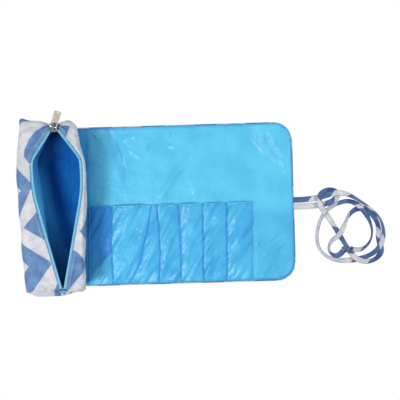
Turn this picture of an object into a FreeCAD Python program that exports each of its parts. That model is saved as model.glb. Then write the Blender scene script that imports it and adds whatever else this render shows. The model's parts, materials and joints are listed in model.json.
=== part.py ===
"""Brush roll case: an open zip pouch, a flap of sewn brush pockets that rolls up over it, and ribbon ties.

Row frame: +Z up, the origin on the underside of the pouch, on the pouch's long centre line and half-way
up the flap. +X runs from the pouch to the free edge of the flap, +Y to the head end of the zip.
The case lies open. Millimetres and degrees.
"""
import FreeCAD
import Part
import Sketcher
import math
import os

SIZES = {
    # Flap: outer cloth, wadding and lining, quilted together and folding along sewn lines.
    "flap_height": 220.0,
    "pocket_pitch": 32.0,
    "plain_pitch": 28.75,
    "flap_corner_radius": 26.0,
    "fold_gap": 0.2,
    "cloth_thickness": 1.2,
    "wadding_thickness": 1.0,
    "lining_thickness": 0.6,
    "hem_width": 4.0,
    # Brush pockets, stitched down to the lining between each two of them.
    "pocket_cloth": 0.6,
    "pocket_room": 4.6,
    "pocket_depth": 108.0,
    "pocket_hem_inset": 5.0,
    "pocket_flange": 2.3,
    "pocket_slope_run": 2.5,
    "pocket_bottom_hem": 2.0,
    # Pouch: its sections stand on the base, and both walls lean outwards.
    "pouch_width": 78.0,
    "pouch_height": 60.0,
    "left_lean": 9.5,
    "right_lean": 5.0,
    "pouch_head_overhang": 8.0,
    "pouch_tail_overhang": 4.0,
    "shoulder_inset": 1.0,
    "neck_inset": 5.5,
    "tip_inset": 8.0,
    "tip_drop": 3.0,
    "shoulder_run": 34.0,
    "tip_run": 7.0,
    "pouch_low_radius": 18.0,
    "pouch_top_radius": 6.0,
    "pouch_lining": 0.8,
    "seam_clearance": 0.3,
    "seam_strip_width": 7.3,
    # Mouth of the pouch, outlined by the zip, which runs a little askew.
    "mouth_offset": 6.2,
    "mouth_edge_inset": 8.8,
    "mouth_cut_depth": 8.0,
    "head_apex_inset": 11.0,
    "tail_apex_inset": 9.0,
    "head_lip_angle": 35.0,
    "tail_lip_share": 0.617,
    "tail_end_margin": 3.5,
    "zip_yaw": 1.5,
    # Zip tape and teeth.
    "tape_width": 4.5,
    "tape_thickness": 0.8,
    "tape_drop": 1.6,
    "tape_half_gap": 1.0,
    "tape_clearance": 0.35,
    "head_lip_start": 5.5,
    "tail_lip_start": 2.5,
    "lip_end_gap": 0.3,
    "tooth_pitch": 2.5,
    "tooth_length": 1.4,
    "tooth_reach": 0.45,
    "tooth_seat": 1.1,
    "tooth_height": 1.4,
    "tooth_margin": 3.0,
    # Slider and pull tab.
    "slider_length": 12.0,
    "slider_mouth_width": 10.0,
    "slider_neck_width": 7.0,
    "slider_waist": 5.0,
    "slider_plate": 1.1,
    "slider_gap": 2.8,
    "slider_clearance": 0.6,
    "divider_width": 0.8,
    "divider_length": 3.0,
    "bail_length": 8.0,
    "bail_height": 4.0,
    "bail_bar": 1.2,
    "bail_width": 2.2,
    "tab_length": 22.0,
    "tab_width": 9.0,
    "tab_thickness": 1.2,
    "tab_frame": 1.4,
    "tab_eye_length": 5.4,
    "tab_hole_length": 7.0,
    "tab_yaw": 20.0,
    "tab_corner_radius": 1.2,
    # Ties.
    "ribbon_width": 8.0,
    "ribbon_thickness": 1.2,
    "ribbon_high_place": 3.0,
    "ribbon_low_place": -5.6,
    "coil_reach": 30.0,
    "coil_place": -35.0,
    "coil_diameter": 100.0,
    "coil_hole_diameter": 54.0,
    "coil_height": 8.0,
}
POCKETS = 7
PLAIN_STRIPS = 2
STRIPS = POCKETS + PLAIN_STRIPS
SIDES = {"left": -1, "right": 1}
OVERRUN = 1.0

doc = FreeCAD.newDocument("BrushRollCase")


class Size:
    """A number kept together with the spreadsheet expression that gives it."""

    def __init__(self, value, text):
        self.value = value
        self.text = text

    def __add__(self, other):
        other = as_size(other)
        return Size(self.value + other.value, f"({self.text} + {other.text})")

    def __sub__(self, other):
        other = as_size(other)
        return Size(self.value - other.value, f"({self.text} - {other.text})")

    def __mul__(self, other):
        other = as_size(other)
        return Size(self.value * other.value, f"({self.text} * {other.text})")

    def __truediv__(self, other):
        other = as_size(other)
        return Size(self.value / other.value, f"({self.text} / {other.text})")

    def __neg__(self):
        return self * -1

    __radd__ = __add__
    __rmul__ = __mul__


def as_size(amount):
    """A Size as it is, and a plain number as a Size."""
    return amount if isinstance(amount, Size) else Size(float(amount), f"({amount})")


def sine(angle):
    return Size(math.sin(math.radians(angle.value)), f"sin({angle.text})")


def cosine(angle):
    return Size(math.cos(math.radians(angle.value)), f"cos({angle.text})")


def tangent(angle):
    return Size(math.tan(math.radians(angle.value)), f"tan({angle.text})")


def arctangent(slope):
    return Size(math.degrees(math.atan(slope.value)), f"(atan({slope.text}) / 1 deg)")


def write_sheet():
    """The spreadsheet of driving sizes: a name and a plain number on each row."""
    sheet = doc.addObject("Spreadsheet::Sheet", "Sizes")
    for row, (name, value) in enumerate(SIZES.items(), start=1):
        sheet.set(f"A{row}", name)
        sheet.set(f"B{row}", str(value))
        sheet.setAlias(f"B{row}", name)
    doc.recompute()


write_sheet()
S = {name: Size(value, f"Sizes.{name}") for name, value in SIZES.items()}
NONE = as_size(0)
nodes = {}

# Heights and places that several pieces share.
wadding_level = S["cloth_thickness"]
lining_level = wadding_level + S["wadding_thickness"]
pocket_level = lining_level + S["lining_thickness"]
half_flap = S["flap_height"] / 2
half_pouch = S["pouch_width"] / 2
half_tip = half_pouch - S["tip_inset"]
tip_height = S["pouch_height"] - S["tip_drop"]
base_half = half_tip - S["pouch_low_radius"]
pouch_head = half_flap + S["pouch_head_overhang"]
pouch_tail = -half_flap - S["pouch_tail_overhang"]
wall_head = pouch_head - S["cloth_thickness"]
wall_tail = pouch_tail + S["cloth_thickness"]
head_apex = pouch_head - S["head_apex_inset"]
tail_apex = pouch_tail + S["tail_apex_inset"]
mouth_half = half_pouch - S["mouth_edge_inset"]
head_lip_length = mouth_half / sine(S["head_lip_angle"])
tail_lip_angle = arctangent(mouth_half / ((head_apex - tail_apex) * S["tail_lip_share"]))
tail_lip_length = mouth_half / sine(tail_lip_angle)
head_knuckle = head_apex - mouth_half / tangent(S["head_lip_angle"])
tail_knuckle = tail_apex + mouth_half / tangent(tail_lip_angle)
middle_lip_length = (head_apex - tail_apex - head_lip_length - tail_lip_length
                     - S["lip_end_gap"] * 2)
middle_lip_place = (head_knuckle + tail_knuckle) / 2
tape_level = S["pouch_height"] - S["tape_drop"]
tape_middle = tape_level + S["tape_thickness"] / 2
slider_half = S["slider_length"] / 2
slider_floor = tape_middle - S["slider_gap"] / 2
slider_roof = tape_middle + S["slider_gap"] / 2
slider_top = slider_roof + S["slider_plate"]
slot_half = S["slider_mouth_width"] / 2 + S["slider_clearance"]
slot_end = head_apex + slider_half + S["slider_clearance"]


def strip_edge(index):
    """Where fold number index lies; fold 0 joins the flap to the pouch."""
    pockets = min(index, POCKETS)
    return half_pouch + S["pocket_pitch"] * pockets + S["plain_pitch"] * (index - pockets)


flap_edge = strip_edge(STRIPS)


def bind(thing, path, amount):
    """Tie a property of an object, or a sketch's constraint, to a size."""
    thing.setExpression(path, as_size(amount).text)


def vector(x, y, z=0.0):
    return FreeCAD.Vector(as_size(x).value, as_size(y).value, as_size(z).value)


def new_body(label):
    body = doc.addObject("PartDesign::Body", label)
    body.Label = label
    return body


def new_sketch(body, role, offset=0.0):
    """A sketch on one of the body's own origin planes, moved along its normal by offset."""
    sketch = body.newObject("Sketcher::SketchObject", f"{body.Name}_sketch")
    plane = next(item for item in body.Origin.OriginFeatures if item.Role == role)
    sketch.AttachmentSupport = (plane, [""])
    sketch.MapMode = "FlatFace"
    bind(sketch, "AttachmentOffset.Base.z", offset)
    return sketch


def pin(sketch, line, end, place):
    """Hold one end of a line at a place measured from the sketch's origin."""
    for kind, amount in zip(("DistanceX", "DistanceY"), place):
        amount = as_size(amount)
        number = sketch.addConstraint(Sketcher.Constraint(kind, -1, 1, line, end, amount.value))
        bind(sketch, f"Constraints[{number}]", amount)


def join(sketch, line, following):
    """The end of one line or arc is the start of the following one."""
    sketch.addConstraint(Sketcher.Constraint("Coincident", line, 2, following, 1))


def draw_polygon(sketch, corners):
    """A closed chain of straight lines through the corners."""
    first = sketch.GeometryCount
    count = len(corners)
    for corner, after in zip(corners, corners[1:] + corners[:1]):
        sketch.addGeometry(Part.LineSegment(vector(*corner), vector(*after)), False)
    for index, corner in enumerate(corners):
        join(sketch, first + index, first + (index + 1) % count)
        pin(sketch, first + index, 1, corner)


def draw_rounded(sketch, corners, radii):
    """A four-sided outline with its corners, anticlockwise from the low left, rounded by radii."""
    inward = ((1, 1), (-1, 1), (-1, -1), (1, -1))
    entries = []
    leaves = []
    for number, ((x, y), (across, up), radius) in enumerate(zip(corners, inward, radii)):
        level = (x + radius * across, y)
        upright = (x, y + radius * up)
        entries.append(level if number % 2 else upright)
        leaves.append(upright if number % 2 else level)
    lines = []
    for leave, entry in zip(leaves, entries[1:] + entries[:1]):
        line = sketch.addGeometry(Part.LineSegment(vector(*leave), vector(*entry)), False)
        pin(sketch, line, 1, leave)
        pin(sketch, line, 2, entry)
        lines.append(line)
    for number, ((x, y), (across, up), radius) in enumerate(zip(corners, inward, radii)):
        if radius.value == 0:
            continue
        middle = vector(x + radius * across, y + radius * up)
        circle = Part.Circle(middle, FreeCAD.Vector(0, 0, 1), radius.value)
        start = math.pi + number * math.pi / 2
        arc = sketch.addGeometry(Part.ArcOfCircle(circle, start, start + math.pi / 2), False)
        join(sketch, lines[number - 1], arc)
        join(sketch, arc, lines[number])
        constraint = sketch.addConstraint(Sketcher.Constraint("Radius", arc, radius.value))
        bind(sketch, f"Constraints[{constraint}]", radius)


def draw_rectangle(sketch, left, right, low, high, radii=(NONE, NONE, NONE, NONE)):
    """A rectangle, its corners rounded by radii."""
    corners = ((left, low), (right, low), (right, high), (left, high))
    draw_rounded(sketch, corners, radii)


def pad(body, sketch, length):
    feature = body.newObject("PartDesign::Pad", f"{body.Name}_pad")
    feature.Profile = sketch
    bind(feature, "Length", length)
    return feature


def pocket(body, sketch, length):
    """A cut along the sketch's normal, from the sketch's plane through the solid above it."""
    feature = body.newObject("PartDesign::Pocket", f"{body.Name}_cut")
    feature.Profile = sketch
    feature.Reversed = True
    bind(feature, "Length", length)
    return feature


def new_box(name, left, right, low, high, bottom, top):
    box = doc.addObject("Part::Box", name)
    bind(box, "Length", right - left)
    bind(box, "Width", high - low)
    bind(box, "Height", top - bottom)
    bind(box, "Placement.Base.x", left)
    bind(box, "Placement.Base.y", low)
    bind(box, "Placement.Base.z", bottom)
    return box


def combine(kind, name, base, tool):
    """A Part boolean of two objects: Cut, Common or Fuse."""
    result = doc.addObject(f"Part::{kind}", name)
    result.Base = base
    result.Tool = tool
    result.Label = name
    return result


def cloth_panel(label, left, right, low, high, level, thickness, radii=(NONE, NONE, NONE, NONE)):
    """A flat layer of cloth lying at a level."""
    body = new_body(label)
    sketch = new_sketch(body, "XY_Plane", level)
    draw_rectangle(sketch, left, right, low, high, radii)
    pad(body, sketch, thickness)
    nodes[label] = body


def place_on_zip(body, along, angle):
    """Stand a body on the zip's axis, along its run, turned by an angle in its plane."""
    body.Placement = FreeCAD.Placement(
        FreeCAD.Vector(), FreeCAD.Rotation(FreeCAD.Vector(0, 0, 1), 1.0)
    )
    bind(body, "Placement.Base.x", S["mouth_offset"] - along * sine(S["zip_yaw"]))
    bind(body, "Placement.Base.y", along * cosine(S["zip_yaw"]))
    bind(body, "Placement.Rotation.Angle", angle)


def make_flap():
    """The quilted sheet, in strips between its fold lines, with the brush pockets on seven of them."""
    for index in range(STRIPS):
        last = index == STRIPS - 1
        left = strip_edge(index) + S["fold_gap"]
        right = flap_edge if last else strip_edge(index + 1) - S["fold_gap"]
        radius = S["flap_corner_radius"] if last else NONE
        corners = (NONE, radius, radius, NONE)
        number = index + 1
        cloth_panel(f"flap_outer_{number}", left, right, -half_flap, half_flap,
                    as_size(0), S["cloth_thickness"], corners)
        cloth_panel(f"flap_lining_{number}", left, right, -half_flap, half_flap,
                    lining_level, S["lining_thickness"], corners)
        hem = S["hem_width"]
        inner_right = right - hem if last else right
        inner_corners = (NONE, radius - hem, radius - hem, NONE) if last else corners
        cloth_panel(f"flap_wadding_{number}", left, inner_right, hem - half_flap, half_flap - hem,
                    wadding_level, S["wadding_thickness"], inner_corners)
        if index < POCKETS:
            make_pocket(f"brush_pocket_{number}", left, right)


def make_pocket(label, left, right):
    """A sleeve raised off the lining between two stitched flanges, closed by a hem at its foot."""
    flange = pocket_level + S["pocket_cloth"]
    roof = pocket_level + S["pocket_room"]
    crown = roof + S["pocket_cloth"]
    foot = S["pocket_flange"]
    shoulder = foot + S["pocket_slope_run"]
    skin = S["pocket_cloth"]
    outside = [
        (right, flange),
        (right - foot, flange),
        (right - shoulder, crown),
        (left + shoulder, crown),
        (left + foot, flange),
        (left, flange),
    ]
    inside = [
        (left + foot + skin, pocket_level),
        (left + shoulder + skin, roof),
        (right - shoulder - skin, roof),
        (right - foot - skin, pocket_level),
    ]
    ground = [(left, pocket_level), (right, pocket_level)]
    low = S["pocket_hem_inset"] - half_flap
    high = low + S["pocket_depth"]
    body = new_body(label)
    hem_line = low + S["pocket_bottom_hem"]
    sleeve = new_sketch(body, "XZ_Plane", -high)
    draw_polygon(sleeve, outside + ground[:1] + inside + ground[1:])
    pad(body, sleeve, high - hem_line)
    hem = new_sketch(body, "XZ_Plane", -hem_line)
    draw_polygon(hem, outside + ground)
    pad(body, hem, S["pocket_bottom_hem"])
    nodes[label] = body


def draw_section(sketch, half, height, inset):
    """A section of the pouch: flat base, rounded corners, and a top wider than the base."""
    reach = half - inset
    top = height - inset
    corners = (
        (-reach, inset), (reach, inset),
        (reach + S["right_lean"], top), (-reach - S["left_lean"], top),
    )
    low_radius = S["pouch_low_radius"] - inset
    top_radius = S["pouch_top_radius"] - inset
    draw_rounded(sketch, corners, (low_radius, low_radius, top_radius, top_radius))


def make_pouch_form(name, inset, overrun):
    """The solid inside a skin of the pouch, lofted from the tail end to the head end."""
    tip = (half_tip, tip_height)
    neck = (half_pouch - S["neck_inset"], S["pouch_height"])
    shoulder = (half_pouch - S["shoulder_inset"], S["pouch_height"])
    stations = [
        (wall_tail, tip),
        (pouch_tail + S["tip_run"], neck),
        (pouch_tail + S["shoulder_run"], shoulder),
        (as_size(0), (half_pouch, S["pouch_height"])),
        (pouch_head - S["shoulder_run"], shoulder),
        (pouch_head - S["tip_run"], neck),
        (wall_head, tip),
    ]
    if overrun:
        stations.insert(0, (wall_tail - overrun, tip))
        stations.append((wall_head + overrun, tip))
    body = new_body(name)
    sections = []
    for place, (half, height) in stations:
        sketch = new_sketch(body, "XZ_Plane", -place)
        draw_section(sketch, half, height, inset)
        sections.append(sketch)
    loft = body.newObject("PartDesign::AdditiveLoft", f"{name}_loft")
    loft.Profile = sections[0]
    loft.Sections = sections[1:]
    loft.Ruled = True
    return body


def make_mouth_cutter():
    """A leaf-shaped prism that opens the top round the zip's lips, with a slot round the slider."""
    offset = S["tape_half_gap"] + S["tape_width"] + S["tape_clearance"]
    margin = S["tail_end_margin"]
    head = S["head_lip_angle"]
    tail = tail_lip_angle
    edge = mouth_half + offset
    right = [
        ((offset - margin * sine(tail)) / cosine(tail), tail_apex - margin),
        (edge, tail_knuckle - offset * tangent(tail / 2)),
        (edge, head_knuckle + offset * tangent(head / 2)),
        (slot_half, head_apex + (offset - slot_half * cosine(head)) / sine(head)),
        (slot_half, slot_end),
    ]
    left = [(-across, along) for across, along in reversed(right)]
    body = new_body("mouth_cutter")
    outline = new_sketch(body, "XY_Plane", S["pouch_height"] - S["mouth_cut_depth"])
    draw_polygon(outline, right + left)
    pad(body, outline, S["mouth_cut_depth"] + OVERRUN)
    place_on_zip(body, as_size(0), S["zip_yaw"])
    return body


def make_skin(layer, outer_form, inner_form, cutter, low, high):
    """One layer of the pouch as two walls and a base, open at the mouth and at both ends."""
    skin = combine("Cut", f"{layer}_skin", outer_form, inner_form)
    opened = combine("Cut", f"{layer}_opened", skin, cutter)
    beyond = half_pouch + S["left_lean"] + S["right_lean"] + OVERRUN
    top = S["pouch_height"] + OVERRUN
    bottom = as_size(-OVERRUN)
    base_box = new_box(f"{layer}_base_box", -base_half, base_half, low, high,
                       bottom, S["pouch_low_radius"] / 2)
    sides = combine("Cut", f"{layer}_sides", opened, base_box)
    left_box = new_box(f"{layer}_left_box", -beyond, S["mouth_offset"], low, high, bottom, top)
    right_box = new_box(f"{layer}_right_box", S["mouth_offset"], beyond, low, high, bottom, top)
    left = combine("Common", f"{layer}_left", sides, left_box)
    right = combine("Common", f"{layer}_right", sides, right_box)
    return left, right, combine("Common", f"{layer}_base", skin, base_box)


def make_end(label, place, thickness, inset):
    """A flat end panel of the pouch, reaching from place towards the tail."""
    body = new_body(label)
    sketch = new_sketch(body, "XZ_Plane", -place)
    draw_section(sketch, half_tip, tip_height, inset)
    pad(body, sketch, thickness)
    nodes[label] = body


def make_base():
    """The outer base: a flat panel whose tongue runs out to the flap's first fold."""
    tongue_end = half_pouch - S["fold_gap"]
    body = new_body("pouch_outer_base")
    sketch = new_sketch(body, "XY_Plane")
    draw_polygon(sketch, [
        (-base_half, wall_tail), (base_half, wall_tail),
        (base_half, -half_flap), (tongue_end, -half_flap),
        (tongue_end, half_flap), (base_half, half_flap),
        (base_half, wall_head), (-base_half, wall_head),
    ])
    pad(body, sketch, S["cloth_thickness"])
    nodes["pouch_outer_base"] = body


def make_pouch():
    """The zip pouch: outer cloth and lining, and the strip that joins the flap to its base."""
    cloth = S["cloth_thickness"]
    lining = S["pouch_lining"]
    outer_form = make_pouch_form("outer_form", as_size(0), None)
    middle_form = make_pouch_form("middle_form", cloth, OVERRUN)
    inner_form = make_pouch_form("inner_form", cloth + lining, 2 * OVERRUN)
    cutter = make_mouth_cutter()
    left, right, _ = make_skin("outer", outer_form, middle_form, cutter, wall_tail, wall_head)
    clearance = S["seam_clearance"]
    channel = new_box("seam_channel", base_half, half_pouch, -half_flap - clearance,
                      half_flap + clearance, as_size(-OVERRUN), cloth + clearance)
    nodes["pouch_outer_left"] = left
    nodes["pouch_outer_right"] = combine("Cut", "pouch_outer_right", right, channel)
    make_base()
    make_end("pouch_outer_head", pouch_head, cloth, as_size(0))
    make_end("pouch_outer_tail", wall_tail, cloth, as_size(0))
    lining_head = wall_head - lining
    lining_tail = wall_tail + lining
    left, right, base = make_skin("lining", middle_form, inner_form, cutter,
                                  lining_tail, lining_head)
    nodes["pouch_lining_left"] = left
    nodes["pouch_lining_right"] = right
    nodes["pouch_lining_base"] = base
    make_end("pouch_lining_head", wall_head, lining, cloth)
    make_end("pouch_lining_tail", lining_tail, lining, cloth)
    cloth_panel("flap_seam_strip", half_pouch - S["seam_strip_width"], half_pouch - S["fold_gap"],
                S["hem_width"] - half_flap, half_flap - S["hem_width"],
                wadding_level, pocket_level - wadding_level)


def make_lip(label, side, low, high):
    """A length of zip tape with its row of teeth; it runs along +Y beside the zip's closed line."""
    body = new_body(label)

    def strip(near, far, start, end, level, height):
        sketch = new_sketch(body, "XY_Plane", level)
        edges = (near, far) if side > 0 else (-far, -near)
        draw_rectangle(sketch, edges[0], edges[1], start, end)
        return pad(body, sketch, height)

    gap = S["tape_half_gap"]
    strip(gap, gap + S["tape_width"], low, high, tape_level, S["tape_thickness"])
    first = low + S["tooth_margin"]
    tooth = strip(gap - S["tooth_reach"], gap + S["tooth_seat"], first, first + S["tooth_length"],
                  tape_middle - S["tooth_height"] / 2, S["tooth_height"])
    row = body.newObject("PartDesign::LinearPattern", f"{label}_row")
    row.Originals = [tooth]
    along = next(item for item in body.Origin.OriginFeatures if item.Role == "Y_Axis")
    row.Direction = (along, [""])
    room = high - low - S["tooth_margin"] * 2 - S["tooth_length"]
    steps = Size(math.floor(room.value / SIZES["tooth_pitch"]),
                 f"floor({room.text} / {S['tooth_pitch'].text})")
    bind(row, "Length", steps * S["tooth_pitch"])
    bind(row, "Occurrences", steps + 1)
    body.Tip = row
    nodes[label] = body
    return body


def make_zip():
    """Three hinged or sliding lengths of each lip, the slider, its pull tab and the sewn ends."""
    yaw = S["zip_yaw"]
    for name, side in SIDES.items():
        head = make_lip(f"zip_head_lip_{name}", side, -head_lip_length, -S["head_lip_start"])
        place_on_zip(head, head_apex, yaw + S["head_lip_angle"] * side)
        tail = make_lip(f"zip_tail_lip_{name}", side, S["tail_lip_start"], tail_lip_length)
        place_on_zip(tail, tail_apex, yaw - tail_lip_angle * side)
        middle = make_lip(f"zip_middle_lip_{name}", side, -middle_lip_length / 2,
                          middle_lip_length / 2)
        place_on_zip(middle, middle_lip_place, yaw)
        across = mouth_half * side
        bind(middle, "Placement.Base.x",
             S["mouth_offset"] - middle_lip_place * sine(yaw) + across * cosine(yaw))
        bind(middle, "Placement.Base.y", middle_lip_place * cosine(yaw) + across * sine(yaw))
    clearance = S["tape_clearance"]
    tail_end = tail_apex - S["tail_end_margin"]
    for name, half, low, high in (
        ("zip_head_bridge", slot_half - clearance, head_apex + clearance, slot_end - clearance),
        ("zip_tail_bridge", S["tape_width"], tail_end + clearance, tail_apex - clearance),
    ):
        cloth_panel(name, -half, half, low, high, tape_level, S["tape_thickness"])
        place_on_zip(nodes[name], as_size(0), yaw)
    make_slider()
    make_pull()


def make_slider():
    """Two plates joined by the divider between the lips, with the bail that holds the pull tab."""
    body = new_body("zip_slider")
    mouth = S["slider_mouth_width"] / 2
    neck = S["slider_neck_width"] / 2
    waist = S["slider_waist"] - slider_half
    outline = [
        (-mouth, -slider_half), (mouth, -slider_half), (mouth, waist),
        (neck, slider_half), (-neck, slider_half), (-mouth, waist),
    ]
    low_plate = new_sketch(body, "XY_Plane", slider_floor - S["slider_plate"])
    draw_polygon(low_plate, outline)
    pad(body, low_plate, S["slider_plate"])
    divider = new_sketch(body, "XY_Plane", slider_floor)
    draw_rectangle(divider, -S["divider_width"] / 2, S["divider_width"] / 2,
                   -slider_half, S["divider_length"] - slider_half)
    pad(body, divider, S["slider_gap"])
    top_plate = new_sketch(body, "XY_Plane", slider_roof)
    draw_polygon(top_plate, outline)
    pad(body, top_plate, S["slider_plate"])
    bail = new_sketch(body, "YZ_Plane", -S["bail_width"] / 2)
    foot = S["bail_length"] / 2
    throat = foot - S["bail_bar"]
    crown = slider_top + S["bail_height"]
    draw_polygon(bail, [
        (-foot, slider_top), (-throat, slider_top), (-throat, crown - S["bail_bar"]),
        (throat, crown - S["bail_bar"]), (throat, slider_top), (foot, slider_top),
        (foot, crown), (-foot, crown),
    ])
    pad(body, bail, S["bail_width"])
    place_on_zip(body, head_apex, S["zip_yaw"])
    nodes["zip_slider"] = body


def make_pull():
    """The pull tab: a flat frame whose round end bar lies in the slider's bail."""
    body = new_body("zip_pull")
    half = S["tab_width"] / 2
    frame = S["tab_frame"]
    radius = S["tab_corner_radius"]
    high = S["tab_length"] - frame / 2
    level = -S["tab_thickness"] / 2
    blank = new_sketch(body, "XY_Plane", level)
    draw_rectangle(blank, -half, half, NONE, high, (NONE, NONE, radius, radius))
    pad(body, blank, S["tab_thickness"])
    for start, end in (
        (-frame, frame / 2 + S["tab_eye_length"]),
        (high - frame - S["tab_hole_length"], high - frame),
    ):
        window = new_sketch(body, "XY_Plane", level)
        draw_rectangle(window, frame - half, half - frame, start, end)
        pocket(body, window, S["tab_thickness"])
    bar = new_sketch(body, "YZ_Plane", -half)
    bar.addGeometry(Part.Circle(vector(0, 0), FreeCAD.Vector(0, 0, 1), (frame / 2).value), False)
    bar.addConstraint(Sketcher.Constraint("Coincident", 0, 3, -1, 1))
    number = bar.addConstraint(Sketcher.Constraint("Radius", 0, (frame / 2).value))
    bind(bar, f"Constraints[{number}]", frame / 2)
    pad(body, bar, S["tab_width"])
    place_on_zip(body, head_apex, S["zip_yaw"] - S["tab_yaw"])
    bind(body, "Placement.Base.z", slider_top + (S["bail_height"] - S["bail_bar"]) / 2)
    nodes["zip_pull"] = body


def new_post(name, diameter, height, x, y):
    post = doc.addObject("Part::Cylinder", name)
    bind(post, "Radius", diameter / 2)
    bind(post, "Height", height)
    bind(post, "Placement.Base.x", x)
    bind(post, "Placement.Base.y", y)
    return post


def make_ties():
    """Two ribbon tails from the flap's free edge, and the loose coil that they lie in."""
    centre = flap_edge + S["coil_reach"] + S["coil_diameter"] / 2
    outer = new_post("coil_outer", S["coil_diameter"], S["coil_height"], centre, S["coil_place"])
    inner = new_post("coil_inner", S["coil_hole_diameter"], S["coil_height"], centre,
                     S["coil_place"])
    nodes["tie_coil"] = combine("Cut", "tie_coil", outer, inner)
    half = S["ribbon_width"] / 2
    for name in ("high", "low"):
        place = S[f"ribbon_{name}_place"]
        ribbon = new_box(f"ribbon_{name}", flap_edge, centre, place - half, place + half,
                         as_size(0), S["ribbon_thickness"])
        nodes[f"tie_run_{name}"] = combine("Cut", f"tie_run_{name}", ribbon, outer)


def check_and_write():
    """Recompute, check every object and sub-part, and write one STEP file per node."""
    doc.recompute()
    for item in doc.Objects:
        if {"Invalid", "Error"} & set(item.State):
            raise RuntimeError(f"{item.Name} failed: {item.State}")
    os.makedirs("parts", exist_ok=True)
    for node, item in nodes.items():
        item.Label = node
        if item.Shape.isNull() or not item.Shape.isValid() or not item.Shape.Solids:
            raise RuntimeError(f"{node} has no valid solid")
        item.Shape.exportStep(os.path.join("parts", f"{node}.step"))
        box = item.Shape.BoundBox
        print(f"{node:22s} solids {len(item.Shape.Solids)} volume {item.Shape.Volume:9.1f}"
              f"  x {box.XMin:7.2f} {box.XMax:7.2f}  y {box.YMin:7.2f} {box.YMax:7.2f}"
              f"  z {box.ZMin:6.2f} {box.ZMax:6.2f}")
    print(len(nodes), "nodes")


make_flap()
make_pouch()
make_zip()
make_ties()
check_and_write()
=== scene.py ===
"""Looks of the brush roll case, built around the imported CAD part. Lengths in the tables are millimetres."""
import json
import math
import bpy
import numpy as np
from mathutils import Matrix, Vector


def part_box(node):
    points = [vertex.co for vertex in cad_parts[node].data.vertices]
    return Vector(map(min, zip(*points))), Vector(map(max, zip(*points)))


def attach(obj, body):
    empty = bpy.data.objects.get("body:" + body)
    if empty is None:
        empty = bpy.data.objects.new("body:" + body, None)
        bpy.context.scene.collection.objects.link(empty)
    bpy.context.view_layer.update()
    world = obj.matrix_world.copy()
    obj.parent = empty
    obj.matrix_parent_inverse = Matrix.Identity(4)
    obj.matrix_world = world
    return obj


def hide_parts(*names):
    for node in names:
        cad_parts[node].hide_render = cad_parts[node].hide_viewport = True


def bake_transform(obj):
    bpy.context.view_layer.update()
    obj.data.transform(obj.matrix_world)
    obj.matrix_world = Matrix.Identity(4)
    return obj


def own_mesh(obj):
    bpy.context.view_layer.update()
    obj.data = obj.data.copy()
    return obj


MM = 0.001
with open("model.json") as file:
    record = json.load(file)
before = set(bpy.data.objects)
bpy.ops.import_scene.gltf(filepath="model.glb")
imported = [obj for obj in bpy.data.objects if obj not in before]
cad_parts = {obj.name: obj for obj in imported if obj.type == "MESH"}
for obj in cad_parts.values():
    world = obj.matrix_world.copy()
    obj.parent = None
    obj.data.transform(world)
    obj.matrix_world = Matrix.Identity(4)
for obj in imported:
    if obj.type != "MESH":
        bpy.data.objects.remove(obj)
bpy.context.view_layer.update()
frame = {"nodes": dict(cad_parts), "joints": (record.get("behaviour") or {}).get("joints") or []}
scene = bpy.context.scene
JOINTS = {joint["name"]: joint for joint in frame["joints"]}


def joint_place(name):
    """Where a joint's axis stands, in millimetres."""
    return np.array(JOINTS[name]["pos_m"]) / MM


def node_box(node):
    """The lowest and highest corner of a CAD node, in millimetres."""
    low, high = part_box(node)
    return np.array(low) / MM, np.array(high) / MM


# ---------------------------------------------------------------- camera
camera = bpy.data.objects.new("camera", bpy.data.cameras.new("camera"))
camera.data.sensor_width = 36
camera.data.lens = 58.3
camera.location = (0.1902, 0.007, 0.90)
camera.rotation_euler = (0, 0, math.radians(-1.7))
scene.collection.objects.link(camera)
scene.camera = camera


# ---------------------------------------------------------------- materials
def linear(red, green, blue):
    """An sRGB colour from 0 to 255 as linear RGBA."""
    channels = [value / 255 for value in (red, green, blue)]
    return tuple(c / 12.92 if c < 0.04045 else ((c + 0.055) / 1.055) ** 2.4 for c in channels) + (1.0,)


class Nodes:
    """A node tree, and a short way to add to it."""

    def __init__(self, tree):
        """tree: a material's or the world's nodes."""
        self.tree = tree

    def node(self, kind, inputs=None, **settings):
        """A new node. inputs: by name or number, each a value or another node's socket."""
        made = self.tree.nodes.new(kind)
        for key, value in settings.items():
            setattr(made, key, value)
        for key, value in (inputs or {}).items():
            if isinstance(value, bpy.types.NodeSocket):
                self.tree.links.new(value, made.inputs[key])
            else:
                made.inputs[key].default_value = value
        return made


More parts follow.
